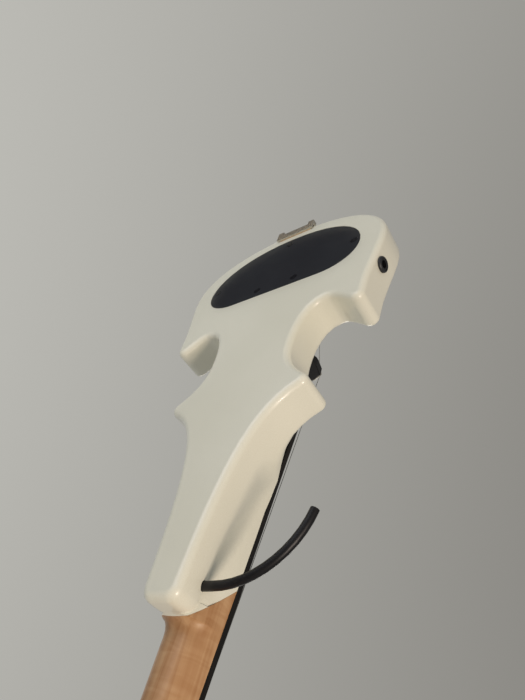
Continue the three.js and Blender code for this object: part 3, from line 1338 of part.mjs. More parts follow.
const makeBracket = () => {
  const top = chinrestBottom - SEAT_GAP;
  const bottom = top - CLAMP_BAR_THICKNESS;
  const bar = boxAt(
    CLAMP_BAR_WIDTH,
    CLAMP_SPREAD + CLAMP_BAR_WIDTH,
    CLAMP_BAR_THICKNESS,
    clampX,
    CLAMP_SHIFT,
    (top + bottom) / 2,
  );
  return joined(bar, ...clampYs.map((y) => post(barrelTop - CLAMP_ENGAGEMENT, bottom + CLAMP_BAR_THICKNESS / 2, y)));
};

const makeFoot = () => {
  const top = -GLUE_LINE * 2 - FOOT_CORK_THICKNESS;
  const bottom = top - CLAMP_BAR_THICKNESS;
  const bar = boxAt(
    CLAMP_FOOT_WIDTH,
    CLAMP_SPREAD + CLAMP_LUG_RADIUS * 2,
    CLAMP_BAR_THICKNESS,
    tailX - CLAMP_FOOT_SETBACK - CLAMP_FOOT_WIDTH / 2,
    CLAMP_SHIFT,
    (top + bottom) / 2,
  );
  const armLength = clampX - tailX + CLAMP_FOOT_SETBACK + CLAMP_FOOT_WIDTH / 2;
  const arms = clampYs.map((y) => boxAt(
    armLength,
    CLAMP_LUG_RADIUS * 2,
    CLAMP_BAR_THICKNESS,
    clampX - armLength / 2,
    y,
    (top + bottom) / 2,
  ));
  const lugs = clampYs.map((y) => cylinderZ(
    CLAMP_LUG_RADIUS,
    CLAMP_LUG_HEIGHT,
    clampX,
    y,
    bottom + CLAMP_LUG_RISE + CLAMP_LUG_HEIGHT / 2,
    16,
  ));
  const posts = clampYs.map((y) => post(bottom + CLAMP_LUG_HEIGHT / 2, barrelBase + CLAMP_ENGAGEMENT, y));
  return joined(bar, ...arms, ...lugs, ...posts);
};

const makeBarrel = (y) => {
  const bore = CLAMP_POST_RADIUS + SEAT_GAP;
  const half = CLAMP_BARREL_LENGTH / 2;
  const edge = CLAMP_BARREL_RADIUS / 6;
  const barrel = turnedZ([
    [bore, -half],
    [CLAMP_BARREL_RADIUS - edge, -half],
    [CLAMP_BARREL_RADIUS, edge - half],
    [CLAMP_BARREL_RADIUS, half - edge],
    [CLAMP_BARREL_RADIUS - edge, half],
    [bore, half],
    [bore, -half],
  ], 16);
  const keyHole = cylinderZ(CLAMP_KEYHOLE_RADIUS, CLAMP_BARREL_RADIUS * 4, 0, 0, 0, 10).rotateY(Math.PI / 2);
  return cut(barrel, keyHole).translate(clampX, y, CLAMP_MIDDLE_HEIGHT);
};

const makeFootCork = () => boxAt(
  CLAMP_FOOT_WIDTH,
  CLAMP_SPREAD,
  FOOT_CORK_THICKNESS,
  tailX - CLAMP_FOOT_SETBACK - CLAMP_FOOT_WIDTH / 2,
  CLAMP_SHIFT,
  -GLUE_LINE - FOOT_CORK_THICKNESS / 2,
);

// Electronics behind the cover
const makeBattery = () => {
  const half = BATTERY_THICKNESS / 2;
  const wide = BATTERY_WIDTH / 2;
  const outline = [[-wide, -half], [wide, -half], [wide, half], [-wide, half]];
  const shell = prismAcross(outline, BATTERY_LENGTH, BATTERY_EDGE);
  const terminals = [-1, 1].map((side) => cylinderZ(
    BATTERY_TERMINAL_RADIUS,
    BATTERY_TERMINAL_LENGTH * 2,
    0,
    0,
    0,
    12,
  ).rotateX(Math.PI / 2).translate((side * wide) / 2, BATTERY_LENGTH / 2, 0));
  const battery = joined(shell, ...terminals);
  return battery.translate(BATTERY_X, BATTERY_Y, COVER_THICKNESS + SEAT_GAP + half);
};

const makeBoard = () => {
  const chipBottom = boardTop - BOARD_THICKNESS - CHIP_HEIGHT / 2;
  return joined(
    boxAt(BOARD_LENGTH, BOARD_WIDTH, BOARD_THICKNESS, BOARD_X, BOARD_Y, boardTop - BOARD_THICKNESS / 2),
    ...chipShares.map(([alongShare, acrossShare, lengthShare, widthShare]) => boxAt(
      lengthShare * BOARD_LENGTH,
      widthShare * BOARD_WIDTH,
      CHIP_HEIGHT + BOARD_THICKNESS,
      BOARD_X + alongShare * BOARD_LENGTH,
      BOARD_Y + acrossShare * BOARD_WIDTH,
      chipBottom + BOARD_THICKNESS / 2,
    )),
  );
};

const makePot = () => {
  const wall = BODY_THICKNESS - CAVITY_DEPTH + SEAT_GAP;
  return turnedZ([
    [0, -POT_HEIGHT],
    [POT_RADIUS, -POT_HEIGHT],
    [POT_RADIUS, 0],
    [POT_BUSH_RADIUS, 0],
    [POT_BUSH_RADIUS, wall],
    [POT_SHAFT_RADIUS, wall],
    [POT_SHAFT_RADIUS, wall + POT_SHAFT_LENGTH],
    [0, wall + POT_SHAFT_LENGTH],
  ], 16);
};

const makeKnob = () => {
  const bore = POT_SHAFT_RADIUS + SEAT_GAP;
  const knob = turnedZ([
    [0, KNOB_BORE_DEPTH],
    [bore, KNOB_BORE_DEPTH],
    [bore, 0],
    [KNOB_RADIUS, 0],
    [KNOB_RADIUS - KNOB_ROUND / 3, KNOB_HEIGHT - KNOB_ROUND],
    [KNOB_RADIUS - KNOB_ROUND, KNOB_HEIGHT],
    [0, KNOB_HEIGHT],
  ], 24);
  const mark = boxAt(KNOB_RADIUS, KNOB_ROUND, KNOB_ROUND, KNOB_RADIUS, 0, KNOB_HEIGHT);
  return cut(knob, mark);
};

const makeBody = () => {
  const whole = joined(bodyShell(), heelStock());
  return cut(
    whole,
    paintSide(0),
    tenonBlock(SEAT_GAP, OVERRUN),
    coverPrism(SEAT_GAP, -OVERRUN, COVER_THICKNESS + SEAT_GAP),
    cavity(),
    ...coverScrewPlaces.map(({ x, y }) => cylinderZ(
      COVER_SCREW_RADIUS + SEAT_GAP,
      COVER_SCREW_LENGTH * 2 + OVERRUN,
      x,
      y,
      0,
      10,
    )),
    ...knobs.map((knob) => cylinderZ(
      POT_BUSH_RADIUS + SEAT_GAP,
      BODY_THICKNESS,
      ...knobPlace(knob),
      BODY_THICKNESS,
      14,
    )),
    jackHole(),
    guideSocket(),
    saddlePocket(),
    buttonHole(),
  );
};

add('body', makeBody(), PEARL_WHITE);
add('neck', makeNeck(), MAPLE);
add('fingerboard', makeFingerboard(), EBONY);
add('nut', makeNut(), EBONY);
add('back_cover', makeCover(), BLACK_PLASTIC);
coverScrewPlaces.forEach(({ x, y }, index) => {
  add(`cover_screw_${index + 1}`, coverScrew(), BLACK_METAL).position.set(x, y, 0);
});
add('battery', makeBattery(), BATTERY_SHELL);
add('preamp_board', makeBoard(), CIRCUIT_GREEN);
add('output_jack', makeJack(), BLACK_METAL, jackGroup);
add('jack_ring', makeJackRing(), BLACK_PLASTIC, jackGroup);
knobs.forEach((knob) => {
  add(`${knob.name}_pot`, makePot(), NICKEL).position.set(...knobPlace(knob), CAVITY_DEPTH - SEAT_GAP);
  add(`${knob.name}_knob`, makeKnob(), BLACK_PLASTIC).position.set(...knobPlace(knob), BODY_THICKNESS + SEAT_GAP);
});

add('guide_rod', guideTube(GUIDE_ROD_RADIUS, -GUIDE_SOCKET_DEPTH, guideLength - GUIDE_TIP, 8), STEEL);
add('guide_sleeve', cut(
  guideTube(GUIDE_SLEEVE_RADIUS, -GUIDE_COUNTERBORE, guideLength, 10),
  guideTube(GUIDE_ROD_RADIUS + SEAT_GAP, -GUIDE_COUNTERBORE - OVERRUN, guideLength - GUIDE_TIP + SEAT_GAP, 8),
), BLACK_RUBBER);

add('bridge', makeBridge(), BLACK_PLASTIC);
strings.forEach((string, index) => {
  const place = bridgePlace(bridgeAngle(index), BRIDGE_CROWN_RADIUS - SADDLE_HEIGHT);
  const saddle = add(`saddle_${string.name}`, makeSaddle(), NICKEL);
  saddle.position.copy(place);
  saddle.rotation.x = -bridgeAngle(index);
});

add('tailpiece', makeTailpiece(), EBONY, tailpiece);
add('tuner_pin', makeTunerPin(), NICKEL, tailpiece);
add('tail_saddle', makeTailSaddle(), EBONY);
add('end_button', makeButton(), EBONY);
add('tail_loop', makeTailLoop(), BLACK_RUBBER);

strings.forEach((string, index) => {
  add(`tuner_lever_${string.name}`, makeLever(string, index), NICKEL, tailpiece);
  add(`tuner_screw_${string.name}`, makeTunerScrew(string, index), NICKEL, tailpiece);
  add(`string_${string.name}`, makeString(string, index), STEEL);
  const peg = add(`peg_${string.name}`, makePeg(string), EBONY);
  peg.position.copy(pegPlace(string));
  peg.rotation.x = (-string.pegSide * Math.PI) / 2;
  const winding = add(`winding_${string.name}`, makeWinding(string), STEEL);
  winding.position.copy(pegPlace(string)).setY(windingY(string));
  winding.rotation.x = Math.PI / 2;
});

add('chinrest', makeChinrest(), EBONY);
chinrestFeet(CORK_THICKNESS, BODY_THICKNESS + GLUE_LINE, CHINREST_CORK_INSET).forEach((pad, index) => {
  add(`chinrest_cork_${index + 1}`, pad, CORK);
});
add('clamp_bracket', makeBracket(), NICKEL);
add('clamp_barrel_1', makeBarrel(clampYs[0]), NICKEL);
add('clamp_barrel_2', makeBarrel(clampYs[1]), NICKEL);
add('clamp_foot', makeFoot(), NICKEL);
add('clamp_cork', makeFootCork(), CORK);

export default violin;
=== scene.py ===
# A solid-body electric violin, dressed piece by piece in the order it is put together

import math

import bpy
from mathutils import Matrix, Vector


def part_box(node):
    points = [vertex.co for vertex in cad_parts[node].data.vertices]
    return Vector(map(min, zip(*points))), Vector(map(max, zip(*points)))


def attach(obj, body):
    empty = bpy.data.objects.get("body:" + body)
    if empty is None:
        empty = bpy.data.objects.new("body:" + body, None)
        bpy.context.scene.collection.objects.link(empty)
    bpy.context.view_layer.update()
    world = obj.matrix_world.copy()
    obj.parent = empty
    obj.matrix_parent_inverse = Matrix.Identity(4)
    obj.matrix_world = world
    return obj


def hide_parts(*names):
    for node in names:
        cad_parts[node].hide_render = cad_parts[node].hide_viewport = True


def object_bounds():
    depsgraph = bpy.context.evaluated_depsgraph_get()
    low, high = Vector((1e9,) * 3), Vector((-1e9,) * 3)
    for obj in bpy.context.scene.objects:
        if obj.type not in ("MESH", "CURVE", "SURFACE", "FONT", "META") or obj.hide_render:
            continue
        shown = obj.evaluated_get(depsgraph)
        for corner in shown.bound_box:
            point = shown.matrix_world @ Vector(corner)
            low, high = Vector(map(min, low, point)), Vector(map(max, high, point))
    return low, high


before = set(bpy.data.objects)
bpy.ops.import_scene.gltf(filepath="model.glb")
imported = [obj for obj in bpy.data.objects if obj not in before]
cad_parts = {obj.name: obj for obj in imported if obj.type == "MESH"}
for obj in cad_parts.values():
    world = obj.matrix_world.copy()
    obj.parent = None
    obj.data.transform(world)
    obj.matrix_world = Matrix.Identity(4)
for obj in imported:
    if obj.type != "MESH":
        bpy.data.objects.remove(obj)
cad_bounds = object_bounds()

# Camera: held low and close behind the neck, looking up along the back towards the tail
CAMERA_PLACE = Vector((-0.3092, 0.2164, -0.1898))
CAMERA_RIGHT = Vector((0.2414, 0.8156, 0.5259))
CAMERA_UP = Vector((0.6729, 0.2498, -0.6963))
CAMERA_LENS = 27.27
CAMERA_SENSOR = 36.0
CAMERA_NEAR = 0.01

camera_back = CAMERA_RIGHT.cross(CAMERA_UP).normalized()
camera_data = bpy.data.cameras.new("camera")
camera_data.lens = CAMERA_LENS
camera_data.sensor_width = CAMERA_SENSOR
camera_data.clip_start = CAMERA_NEAR
camera = bpy.data.objects.new("camera", camera_data)
bpy.context.scene.collection.objects.link(camera)
camera_turn = Matrix((CAMERA_RIGHT, CAMERA_UP, camera_back)).transposed()
camera.matrix_world = Matrix.Translation(CAMERA_PLACE) @ camera_turn.to_4x4()
bpy.context.scene.camera = camera
bpy.context.scene.view_settings.view_transform = "Standard"


# Body: a wood slab routed from the back, its edges rounded, then sprayed with pearl
# white lacquer and polished. Everything else is screwed or glued to it
PEARL = "E6E4D2"
PEARL_SHADE = "E0DECB"
PEARL_FLAKE = "F6F5F1"
PEARL_CLEAR = "FFFFFF"
FLAKE_SHARE = 0.8
LACQUER_FLAKE = 2600.0
LACQUER_CLOUD = 9.0
LACQUER_RIPPLE = 110.0
BODY_EDGE = 0.0003
WELD_REACH = 0.00002
FLAT_WITHIN = 0.4
ROUND_ABOVE = 42
ROUND_STEPS = 2
SMOOTH_BELOW = 38


def linear(hex_colour):
    """The linear colour that a shader takes, from a paint chart's hex value."""
    channels = [int(hex_colour[i : i + 2], 16) / 255 for i in (0, 2, 4)]
    bright = [c / 12.92 if c <= 0.04045 else ((c + 0.055) / 1.055) ** 2.4 for c in channels]
    return (*bright, 1.0)


def open_finish(name, roughness=0.5, metallic=0.0, coat=0.0, coat_roughness=0.1, specular=0.5):
    """Starts a finish and sets the values that are the same all over it."""
    finish = bpy.data.materials.new(name)
    finish.use_nodes = True
    shader = finish.node_tree.nodes["Principled BSDF"]
    shader.inputs["Roughness"].default_value = roughness
    shader.inputs["Metallic"].default_value = metallic
    shader.inputs["Coat Weight"].default_value = coat
    shader.inputs["Coat Roughness"].default_value = coat_roughness
    shader.inputs["Specular IOR Level"].default_value = specular
    return finish, shader


def mottle(
    finish, scale, stretch=(1.0, 1.0, 1.0), detail=4.0, distortion=0.0, kind="ShaderNodeTexNoise"
):
    """A texture over the piece in metres, drawn out along its grain."""
    nodes, links = finish.node_tree.nodes, finish.node_tree.links
    place = nodes.new("ShaderNodeTexCoord")
    mapping = nodes.new("ShaderNodeMapping")
    mapping.inputs["Scale"].default_value = stretch
    texture = nodes.new(kind)
    texture.inputs["Scale"].default_value = scale
    texture.inputs["Detail"].default_value = detail
    if distortion:
        texture.inputs["Distortion"].default_value = distortion
    links.new(place.outputs["Object"], mapping.inputs["Vector"])
    links.new(mapping.outputs["Vector"], texture.inputs["Vector"])
    return texture.outputs[0]


def shade_between(finish, pattern, dark, light, low=0.35, high=0.65):
    """Colours a pattern from dark to light."""
    ramp = finish.node_tree.nodes.new("ShaderNodeValToRGB")
    ramp.color_ramp.elements[0].position = low
    ramp.color_ramp.elements[0].color = linear(dark)
    ramp.color_ramp.elements[1].position = high
    ramp.color_ramp.elements[1].color = linear(light)
    finish.node_tree.links.new(pattern, ramp.inputs["Fac"])
    return ramp.outputs["Color"]


def glaze(finish, under, over, share):
    """Multiplies a share of one colour over another, as a thin glaze does."""
    mix = finish.node_tree.nodes.new("ShaderNodeMix")
    mix.data_type = "RGBA"
    mix.blend_type = "MULTIPLY"
    mix.inputs["Factor"].default_value = share
    finish.node_tree.links.new(under, mix.inputs["A"])
    finish.node_tree.links.new(over, mix.inputs["B"])
    return mix.outputs["Result"]


def raise_relief(finish, shader, pattern, strength, depth):
    """Raises a pattern from the surface, to a depth in metres."""
    bump = finish.node_tree.nodes.new("ShaderNodeBump")
    bump.inputs["Strength"].default_value = strength
    bump.inputs["Distance"].default_value = depth
    finish.node_tree.links.new(pattern, bump.inputs["Height"])
    finish.node_tree.links.new(bump.outputs["Normal"], shader.inputs["Normal"])


def vary_roughness(finish, shader, pattern, low, high):
    """Lets the polish wander between two roughnesses."""
    spread = finish.node_tree.nodes.new("ShaderNodeMapRange")
    spread.inputs["To Min"].default_value = low
    spread.inputs["To Max"].default_value = high
    finish.node_tree.links.new(pattern, spread.inputs["Value"])
    finish.node_tree.links.new(spread.outputs["Result"], shader.inputs["Roughness"])


def paint_with(finish, shader, colour):
    finish.node_tree.links.new(colour, shader.inputs["Base Color"])


def pearl_lacquer():
    finish, shader = open_finish("pearl_lacquer", coat=0.7, coat_roughness=0.06)
    cloud = shade_between(finish, mottle(finish, LACQUER_CLOUD), PEARL_SHADE, PEARL)
    fleck = mottle(finish, LACQUER_FLAKE, detail=1.0)
    flake = shade_between(finish, fleck, PEARL_FLAKE, PEARL_CLEAR)
    paint_with(finish, shader, glaze(finish, cloud, flake, FLAKE_SHARE))
    vary_roughness(finish, shader, mottle(finish, LACQUER_CLOUD), low=0.3, high=0.4)
    ripple = mottle(finish, LACQUER_RIPPLE, detail=1.0)
    raise_relief(finish, shader, ripple, strength=0.012, depth=0.0003)
    return finish


def angle_smoother(degrees):
    """A node group that shades a surface smooth but keeps its hard edges."""
    group = bpy.data.node_groups.new(f"smooth_to_{degrees}", "GeometryNodeTree")
    group.interface.new_socket("Geometry", in_out="INPUT", socket_type="NodeSocketGeometry")
    group.interface.new_socket("Geometry", in_out="OUTPUT", socket_type="NodeSocketGeometry")
    nodes, links = group.nodes, group.links
    source, target = nodes.new("NodeGroupInput"), nodes.new("NodeGroupOutput")
    angle = nodes.new("GeometryNodeInputMeshEdgeAngle")
    hard = nodes.new("FunctionNodeCompare")
    hard.operation = "GREATER_THAN"
    hard.inputs[1].default_value = math.radians(degrees)
    all_smooth = nodes.new("GeometryNodeSetShadeSmooth")
    keep_hard = nodes.new("GeometryNodeSetShadeSmooth")
    keep_hard.domain = "EDGE"
    keep_hard.inputs["Shade Smooth"].default_value = False
    links.new(source.outputs[0], all_smooth.inputs["Geometry"])
    links.new(angle.outputs["Unsigned Angle"], hard.inputs[0])
    links.new(all_smooth.outputs["Geometry"], keep_hard.inputs["Geometry"])
    links.new(hard.outputs["Result"], keep_hard.inputs["Selection"])
    links.new(keep_hard.outputs["Geometry"], target.inputs[0])
    return group


SMOOTHER = angle_smoother(SMOOTH_BELOW)


def ease_edges(piece, edge):
    """Joins a faceted piece's faces, rounds its hard edges a little and shades it smooth."""
    weld = piece.modifiers.new("weld", "WELD")
    weld.merge_threshold = WELD_REACH
    flatten = piece.modifiers.new("flatten", "DECIMATE")
    flatten.decimate_type = "DISSOLVE"
    flatten.angle_limit = math.radians(FLAT_WITHIN)
    if edge:
        bevel = piece.modifiers.new("edge", "BEVEL")
        bevel.width = edge
        bevel.segments = ROUND_STEPS
        bevel.limit_method = "ANGLE"
        bevel.angle_limit = math.radians(ROUND_ABOVE)
        bevel.use_clamp_overlap = True
    smooth = piece.modifiers.new("smooth", "NODES")
    smooth.node_group = SMOOTHER
    weigh = piece.modifiers.new("weigh", "WEIGHTED_NORMAL")
    weigh.keep_sharp = True


def dress(names, finish, edge=0.0002):
    """Gives pieces their finish and eases their edges by a width in metres."""
    for name in names:
        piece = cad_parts[name]
        piece.data.materials.clear()
        piece.data.materials.append(finish)
        ease_edges(piece, edge)


dress(["body"], pearl_lacquer(), edge=BODY_EDGE)


# Neck with pegbox and scroll: carved from one length of maple, glued into the body
# with a tenon and finished in amber gloss varnish
MAPLE_DARK = "A67A50"
MAPLE_LIGHT = "C19A70"
MAPLE_FLAME = "E2D2BE"
MAPLE_CLEAR = "FFFFFF"
FLAME_SHARE = 0.45
NECK_EDGE = 0.0004


def maple():
    finish, shader = open_finish("maple", coat=0.22, coat_roughness=0.04, specular=0.3)
    grain = mottle(finish, scale=26.0, stretch=(0.35, 9.0, 9.0), detail=6.0, distortion=0.4)
    figure = mottle(finish, scale=70.0, stretch=(2.2, 0.5, 0.5), detail=2.0, distortion=1.2)
    wood = shade_between(finish, grain, MAPLE_DARK, MAPLE_LIGHT, low=0.3, high=0.72)
    flame = shade_between(finish, figure, MAPLE_FLAME, MAPLE_CLEAR, low=0.36, high=0.6)
    paint_with(finish, shader, glaze(finish, wood, flame, FLAME_SHARE))
    vary_roughness(finish, shader, grain, low=0.36, high=0.48)
    raise_relief(finish, shader, grain, strength=0.05, depth=0.0002)
    return finish


dress(["neck"], maple(), edge=NECK_EDGE)


# Fingerboard and nut: planed from ebony, the board hollowed under its free end. Both
# are glued on the neck, oiled and rubbed to a satin
EBONY_DARK = "080605"
EBONY_LIGHT = "17120E"
FINGERBOARD_EDGE = 0.0004


def ebony():
    finish, shader = open_finish("ebony", specular=0.3)
    grain = mottle(finish, scale=60.0, stretch=(0.5, 10.0, 10.0), detail=8.0, distortion=0.4)
    wood = shade_between(finish, grain, EBONY_DARK, EBONY_LIGHT, low=0.35, high=0.75)
    paint_with(finish, shader, wood)
    vary_roughness(finish, shader, grain, low=0.36, high=0.5)
    raise_relief(finish, shader, grain, strength=0.15, depth=0.00015)
    return finish


EBONY = ebony()
dress(["fingerboard", "nut"], EBONY, edge=FINGERBOARD_EDGE)


# Back cover: a moulded black plate with a fine pebbled skin, flush in its recess and
# held by five small black screws
PLASTIC_DARK = "1D1E22"
PLASTIC_LIGHT = "232529"
BLACKED_DARK = "1B1B1E"
BLACKED_LIGHT = "27272A"
COVER_EDGE = 0.0003
COVER_SCREW_EDGE = 0.00012


def black_plastic():
    finish, shader = open_finish("black_plastic")
    pebble = mottle(finish, scale=1400.0, detail=2.0)
    tint = shade_between(finish, mottle(finish, scale=14.0), PLASTIC_DARK, PLASTIC_LIGHT)
    paint_with(finish, shader, tint)
    vary_roughness(finish, shader, mottle(finish, scale=22.0), low=0.4, high=0.52)
    raise_relief(finish, shader, pebble, strength=0.12, depth=0.0001)
    return finish


def black_metal():
    finish, shader = open_finish("black_metal", metallic=0.4)
    tint = shade_between(finish, mottle(finish, scale=500.0), BLACKED_DARK, BLACKED_LIGHT)
    paint_with(finish, shader, tint)
    vary_roughness(finish, shader, mottle(finish, scale=300.0), low=0.28, high=0.42)
    return finish


BLACK_PLASTIC = black_plastic()
BLACK_METAL = black_metal()
dress(["back_cover"], BLACK_PLASTIC, edge=COVER_EDGE)
dress([f"cover_screw_{i}" for i in range(1, 6)], BLACK_METAL, edge=COVER_SCREW_EDGE)


# Battery and circuit board: under the cover, the battery in a printed metal shell,
# the board etched from laminate and screwed on posts
SHELL_DARK = "2B2E35"
SHELL_LIGHT = "3A3E47"
LAMINATE = "164A2A"
TRACK = "21663A"
BOARD_EDGE = 0.0001


def battery_shell():
    finish, shader = open_finish("battery_shell", metallic=0.6)
    tint = shade_between(finish, mottle(finish, scale=30.0), SHELL_DARK, SHELL_LIGHT)
    paint_with(finish, shader, tint)
    vary_roughness(finish, shader, mottle(finish, scale=120.0), low=0.25, high=0.4)
    return finish


def circuit_board():
    finish, shader = open_finish("circuit_board", roughness=0.4, coat=0.4)
    tracks = mottle(finish, scale=260.0, stretch=(1.0, 0.25, 1.0), detail=0.0)
    etched = shade_between(finish, tracks, LAMINATE, TRACK, low=0.48, high=0.52)
    paint_with(finish, shader, etched)
    raise_relief(finish, shader, tracks, strength=0.3, depth=0.0001)
    return finish


dress(["battery"], battery_shell())
dress(["preamp_board"], circuit_board(), edge=BOARD_EDGE)


# Output jack: a black barrel behind a moulded ring on the treble side, and the two
# pots, whose nickel plated shafts come up through the front
NICKEL_DARK = "CDC6BA"
NICKEL_LIGHT = "DBD5CA"
JACK_RING_EDGE = 0.0004


def nickel():
    finish, shader = open_finish("nickel", metallic=1.0)
    tint = shade_between(finish, mottle(finish, scale=40.0), NICKEL_DARK, NICKEL_LIGHT)
    paint_with(finish, shader, tint)
    brushing = mottle(finish, scale=700.0, stretch=(0.2, 1.0, 1.0))
    vary_roughness(finish, shader, brushing, low=0.18, high=0.32)
    return finish


NICKEL = nickel()
dress(["output_jack"], BLACK_METAL)
dress(["jack_ring"], BLACK_PLASTIC, edge=JACK_RING_EDGE)
dress(["volume_pot", "tone_pot"], NICKEL)


# Knobs: turned black plastic, pushed on the pots' shafts, with a fluted grip, a dished
# top and a white painted pointer
KNOB_RADIUS = 0.0095
KNOB_HEIGHT = 0.013
KNOB_FLUTES = 30
KNOB_FLUTE_DEPTH = 0.0004
POINTS_PER_FLUTE = 6
# Each row: the share of the knob's radius and height, and how deep its flutes are
KNOB_PROFILE = [
    (0.0, 0.0, 0.0),
    (0.93, 0.0, 0.0),
    (0.985, 0.02, 0.0),
    (1.0, 0.06, 0.0),
    (1.0, 0.13, 0.0),
    (1.0, 0.16, 1.0),
    (0.985, 0.5, 1.0),
    (0.965, 0.82, 1.0),
    (0.955, 0.86, 0.0),
    (0.945, 0.94, 0.0),
    (0.915, 0.985, 0.0),
    (0.86, 1.0, 0.0),
    (0.78, 1.0, 0.0),
    (0.75, 0.985, 0.0),
    (0.0, 0.96, 0.0),
]
POINTER_WIDTH = 0.0011
POINTER_RISE = 0.00012
# Each row: the share of the knob's radius and height, and the paint's rise above that
POINTER_SIDE = [
    (0.2, 0.955, 0.0),
    (0.7, 0.965, 0.0),
    (0.7, 0.99, POINTER_RISE),
    (0.2, 0.98, POINTER_RISE),
]
POINTER_FACES = [
    (0, 1, 3, 2), (2, 3, 5, 4), (4, 5, 7, 6), (6, 7, 1, 0), (0, 2, 4, 6), (1, 7, 5, 3)
]
POINTER_DARK = "E4E2DA"
POINTER_LIGHT = "EFEDE6"


def mesh_piece(name, corners, faces, finish, body):
    """Adds a mesh piece that moves with a body."""
    data = bpy.data.meshes.new(name)
    data.from_pydata(corners, [], faces)
    data.materials.append(finish)
    piece = bpy.data.objects.new(name, data)
    bpy.context.scene.collection.objects.link(piece)
    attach(piece, body)
    return piece


def knob_shell(knob, seat):
    """The turned knob: a ring of corners for each row between the two that close its ends."""
    around = KNOB_FLUTES * POINTS_PER_FLUTE
    rows = KNOB_PROFILE[1:-1]
    corners, faces = [], []
    for radius, height, fluted in rows:
        for step in range(around):
            angle = 2 * math.pi * step / around
            groove = 0.5 - 0.5 * math.cos(2 * math.pi * step / POINTS_PER_FLUTE)
            reach = radius * KNOB_RADIUS - fluted * KNOB_FLUTE_DEPTH * groove
            across, along = reach * math.cos(angle), reach * math.sin(angle)
            corners.append(seat + Vector((across, along, height * KNOB_HEIGHT)))
    for ring in range(len(rows) - 1):
        low, high = ring * around, (ring + 1) * around
        for step in range(around):
            after = (step + 1) % around
            faces.append((low + step, low + after, high + after, high + step))
    last = (len(rows) - 1) * around
    for start, end, facing in ((0, KNOB_PROFILE[0], -1), (last, KNOB_PROFILE[-1], 1)):
        corners.append(seat + Vector((0, 0, end[1] * KNOB_HEIGHT)))
        for step in range(around):
            pair = (start + step, start + (step + 1) % around)
            faces.append((*pair[::facing], len(corners) - 1))
    shell = mesh_piece(f"{knob}_shell", corners, faces, BLACK_PLASTIC, knob)
    smooth = shell.modifiers.new("smooth", "NODES")
    smooth.node_group = SMOOTHER
    return shell


def pointer_paint():
    finish, shader = open_finish("pointer_paint", roughness=0.4)
    tint = shade_between(finish, mottle(finish, scale=900.0), POINTER_DARK, POINTER_LIGHT)
    paint_with(finish, shader, tint)
    return finish


def knob_pointer(knob, seat):
    """The painted bar that points from the knob's middle towards the neck."""
    bar = []
    for along, height, rise in POINTER_SIDE:
        for side in (-1, 1):
            across = side * POINTER_WIDTH / 2
            bar.append(seat + Vector((-along * KNOB_RADIUS, across, height * KNOB_HEIGHT + rise)))
    mesh_piece(f"{knob}_pointer", bar, POINTER_FACES, POINTER_PAINT, knob)


POINTER_PAINT = pointer_paint()
for knob in ("volume_knob", "tone_knob"):
    low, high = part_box(knob)
    seat = Vector(((low[0] + high[0]) / 2, (low[1] + high[1]) / 2, low[2]))
    shell = knob_shell(knob, seat)
    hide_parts(knob)
    knob_pointer(knob, seat)


# Hand guide: a bent steel rod pressed into its socket in the treble side, with a
# black rubber sleeve pulled over it
RUBBER_DARK = "0B0B0D"
RUBBER_LIGHT = "141417"
STEEL_DARK = "A6A6A4"
STEEL_LIGHT = "BEBEBC"
SLEEVE_EDGE = 0.0004


def black_rubber():
    finish, shader = open_finish("black_rubber", specular=0.3)
    skin = mottle(finish, scale=900.0, detail=3.0)
    tint = shade_between(finish, mottle(finish, scale=60.0), RUBBER_DARK, RUBBER_LIGHT)
    paint_with(finish, shader, tint)
    vary_roughness(finish, shader, mottle(finish, scale=80.0), low=0.34, high=0.5)
    raise_relief(finish, shader, skin, strength=0.1, depth=0.0001)
    return finish


def steel():
    finish, shader = open_finish("steel", metallic=1.0)
    tint = shade_between(finish, mottle(finish, scale=200.0), STEEL_DARK, STEEL_LIGHT)
    paint_with(finish, shader, tint)
    drawing = mottle(finish, scale=1500.0, stretch=(1.0, 0.1, 0.1))
    vary_roughness(finish, shader, drawing, low=0.2, high=0.34)
    return finish


BLACK_RUBBER = black_rubber()
STEEL = steel()
dress(["guide_rod"], STEEL)
dress(["guide_sleeve"], BLACK_RUBBER, edge=SLEEVE_EDGE)


# Bridge: a jet black moulded bridge that stands on the front under the strings' pull,
# with four nickel saddles over the pickup elements
STRINGS = "gdae"
BRIDGE_DARK = "0B0B0C"
BRIDGE_LIGHT = "111113"
BRIDGE_EDGE = 0.0005


def bridge_black():
    finish, shader = open_finish("bridge_black", specular=0.3)
    tint = shade_between(finish, mottle(finish, scale=30.0), BRIDGE_DARK, BRIDGE_LIGHT)
    paint_with(finish, shader, tint)
    vary_roughness(finish, shader, mottle(finish, scale=60.0), low=0.44, high=0.56)
    skin = mottle(finish, scale=1500.0, detail=2.0)
    raise_relief(finish, shader, skin, strength=0.1, depth=0.0001)
    return finish


dress(["bridge"], bridge_black(), edge=BRIDGE_EDGE)
dress([f"saddle_{s}" for s in STRINGS], NICKEL)


# Tailpiece: carved from ebony and hollowed below, with four nickel plated fine tuners.
# Each has a lever on one common pin and a screw that presses it
TAILPIECE_EDGE = 0.0004

dress(["tailpiece"], EBONY, edge=TAILPIECE_EDGE)
dress(["tuner_pin"], NICKEL)
dress([f"tuner_lever_{s}" for s in STRINGS], NICKEL)
dress([f"tuner_screw_{s}" for s in STRINGS], NICKEL)


# Tail saddle and end button: turned and shaped from ebony, let into the body's tail.
# A black loop runs over the saddle and round the button and holds the tailpiece
TAIL_EDGE = 0.0004

dress(["tail_saddle", "end_button"], EBONY, edge=TAIL_EDGE)
dress(["tail_loop"], BLACK_RUBBER)


# Strings and pegs: steel wires from the levers over the bridge and nut, wound on
# ebony pegs that hold by friction in the pegbox
PEG_EDGE = 0.0003

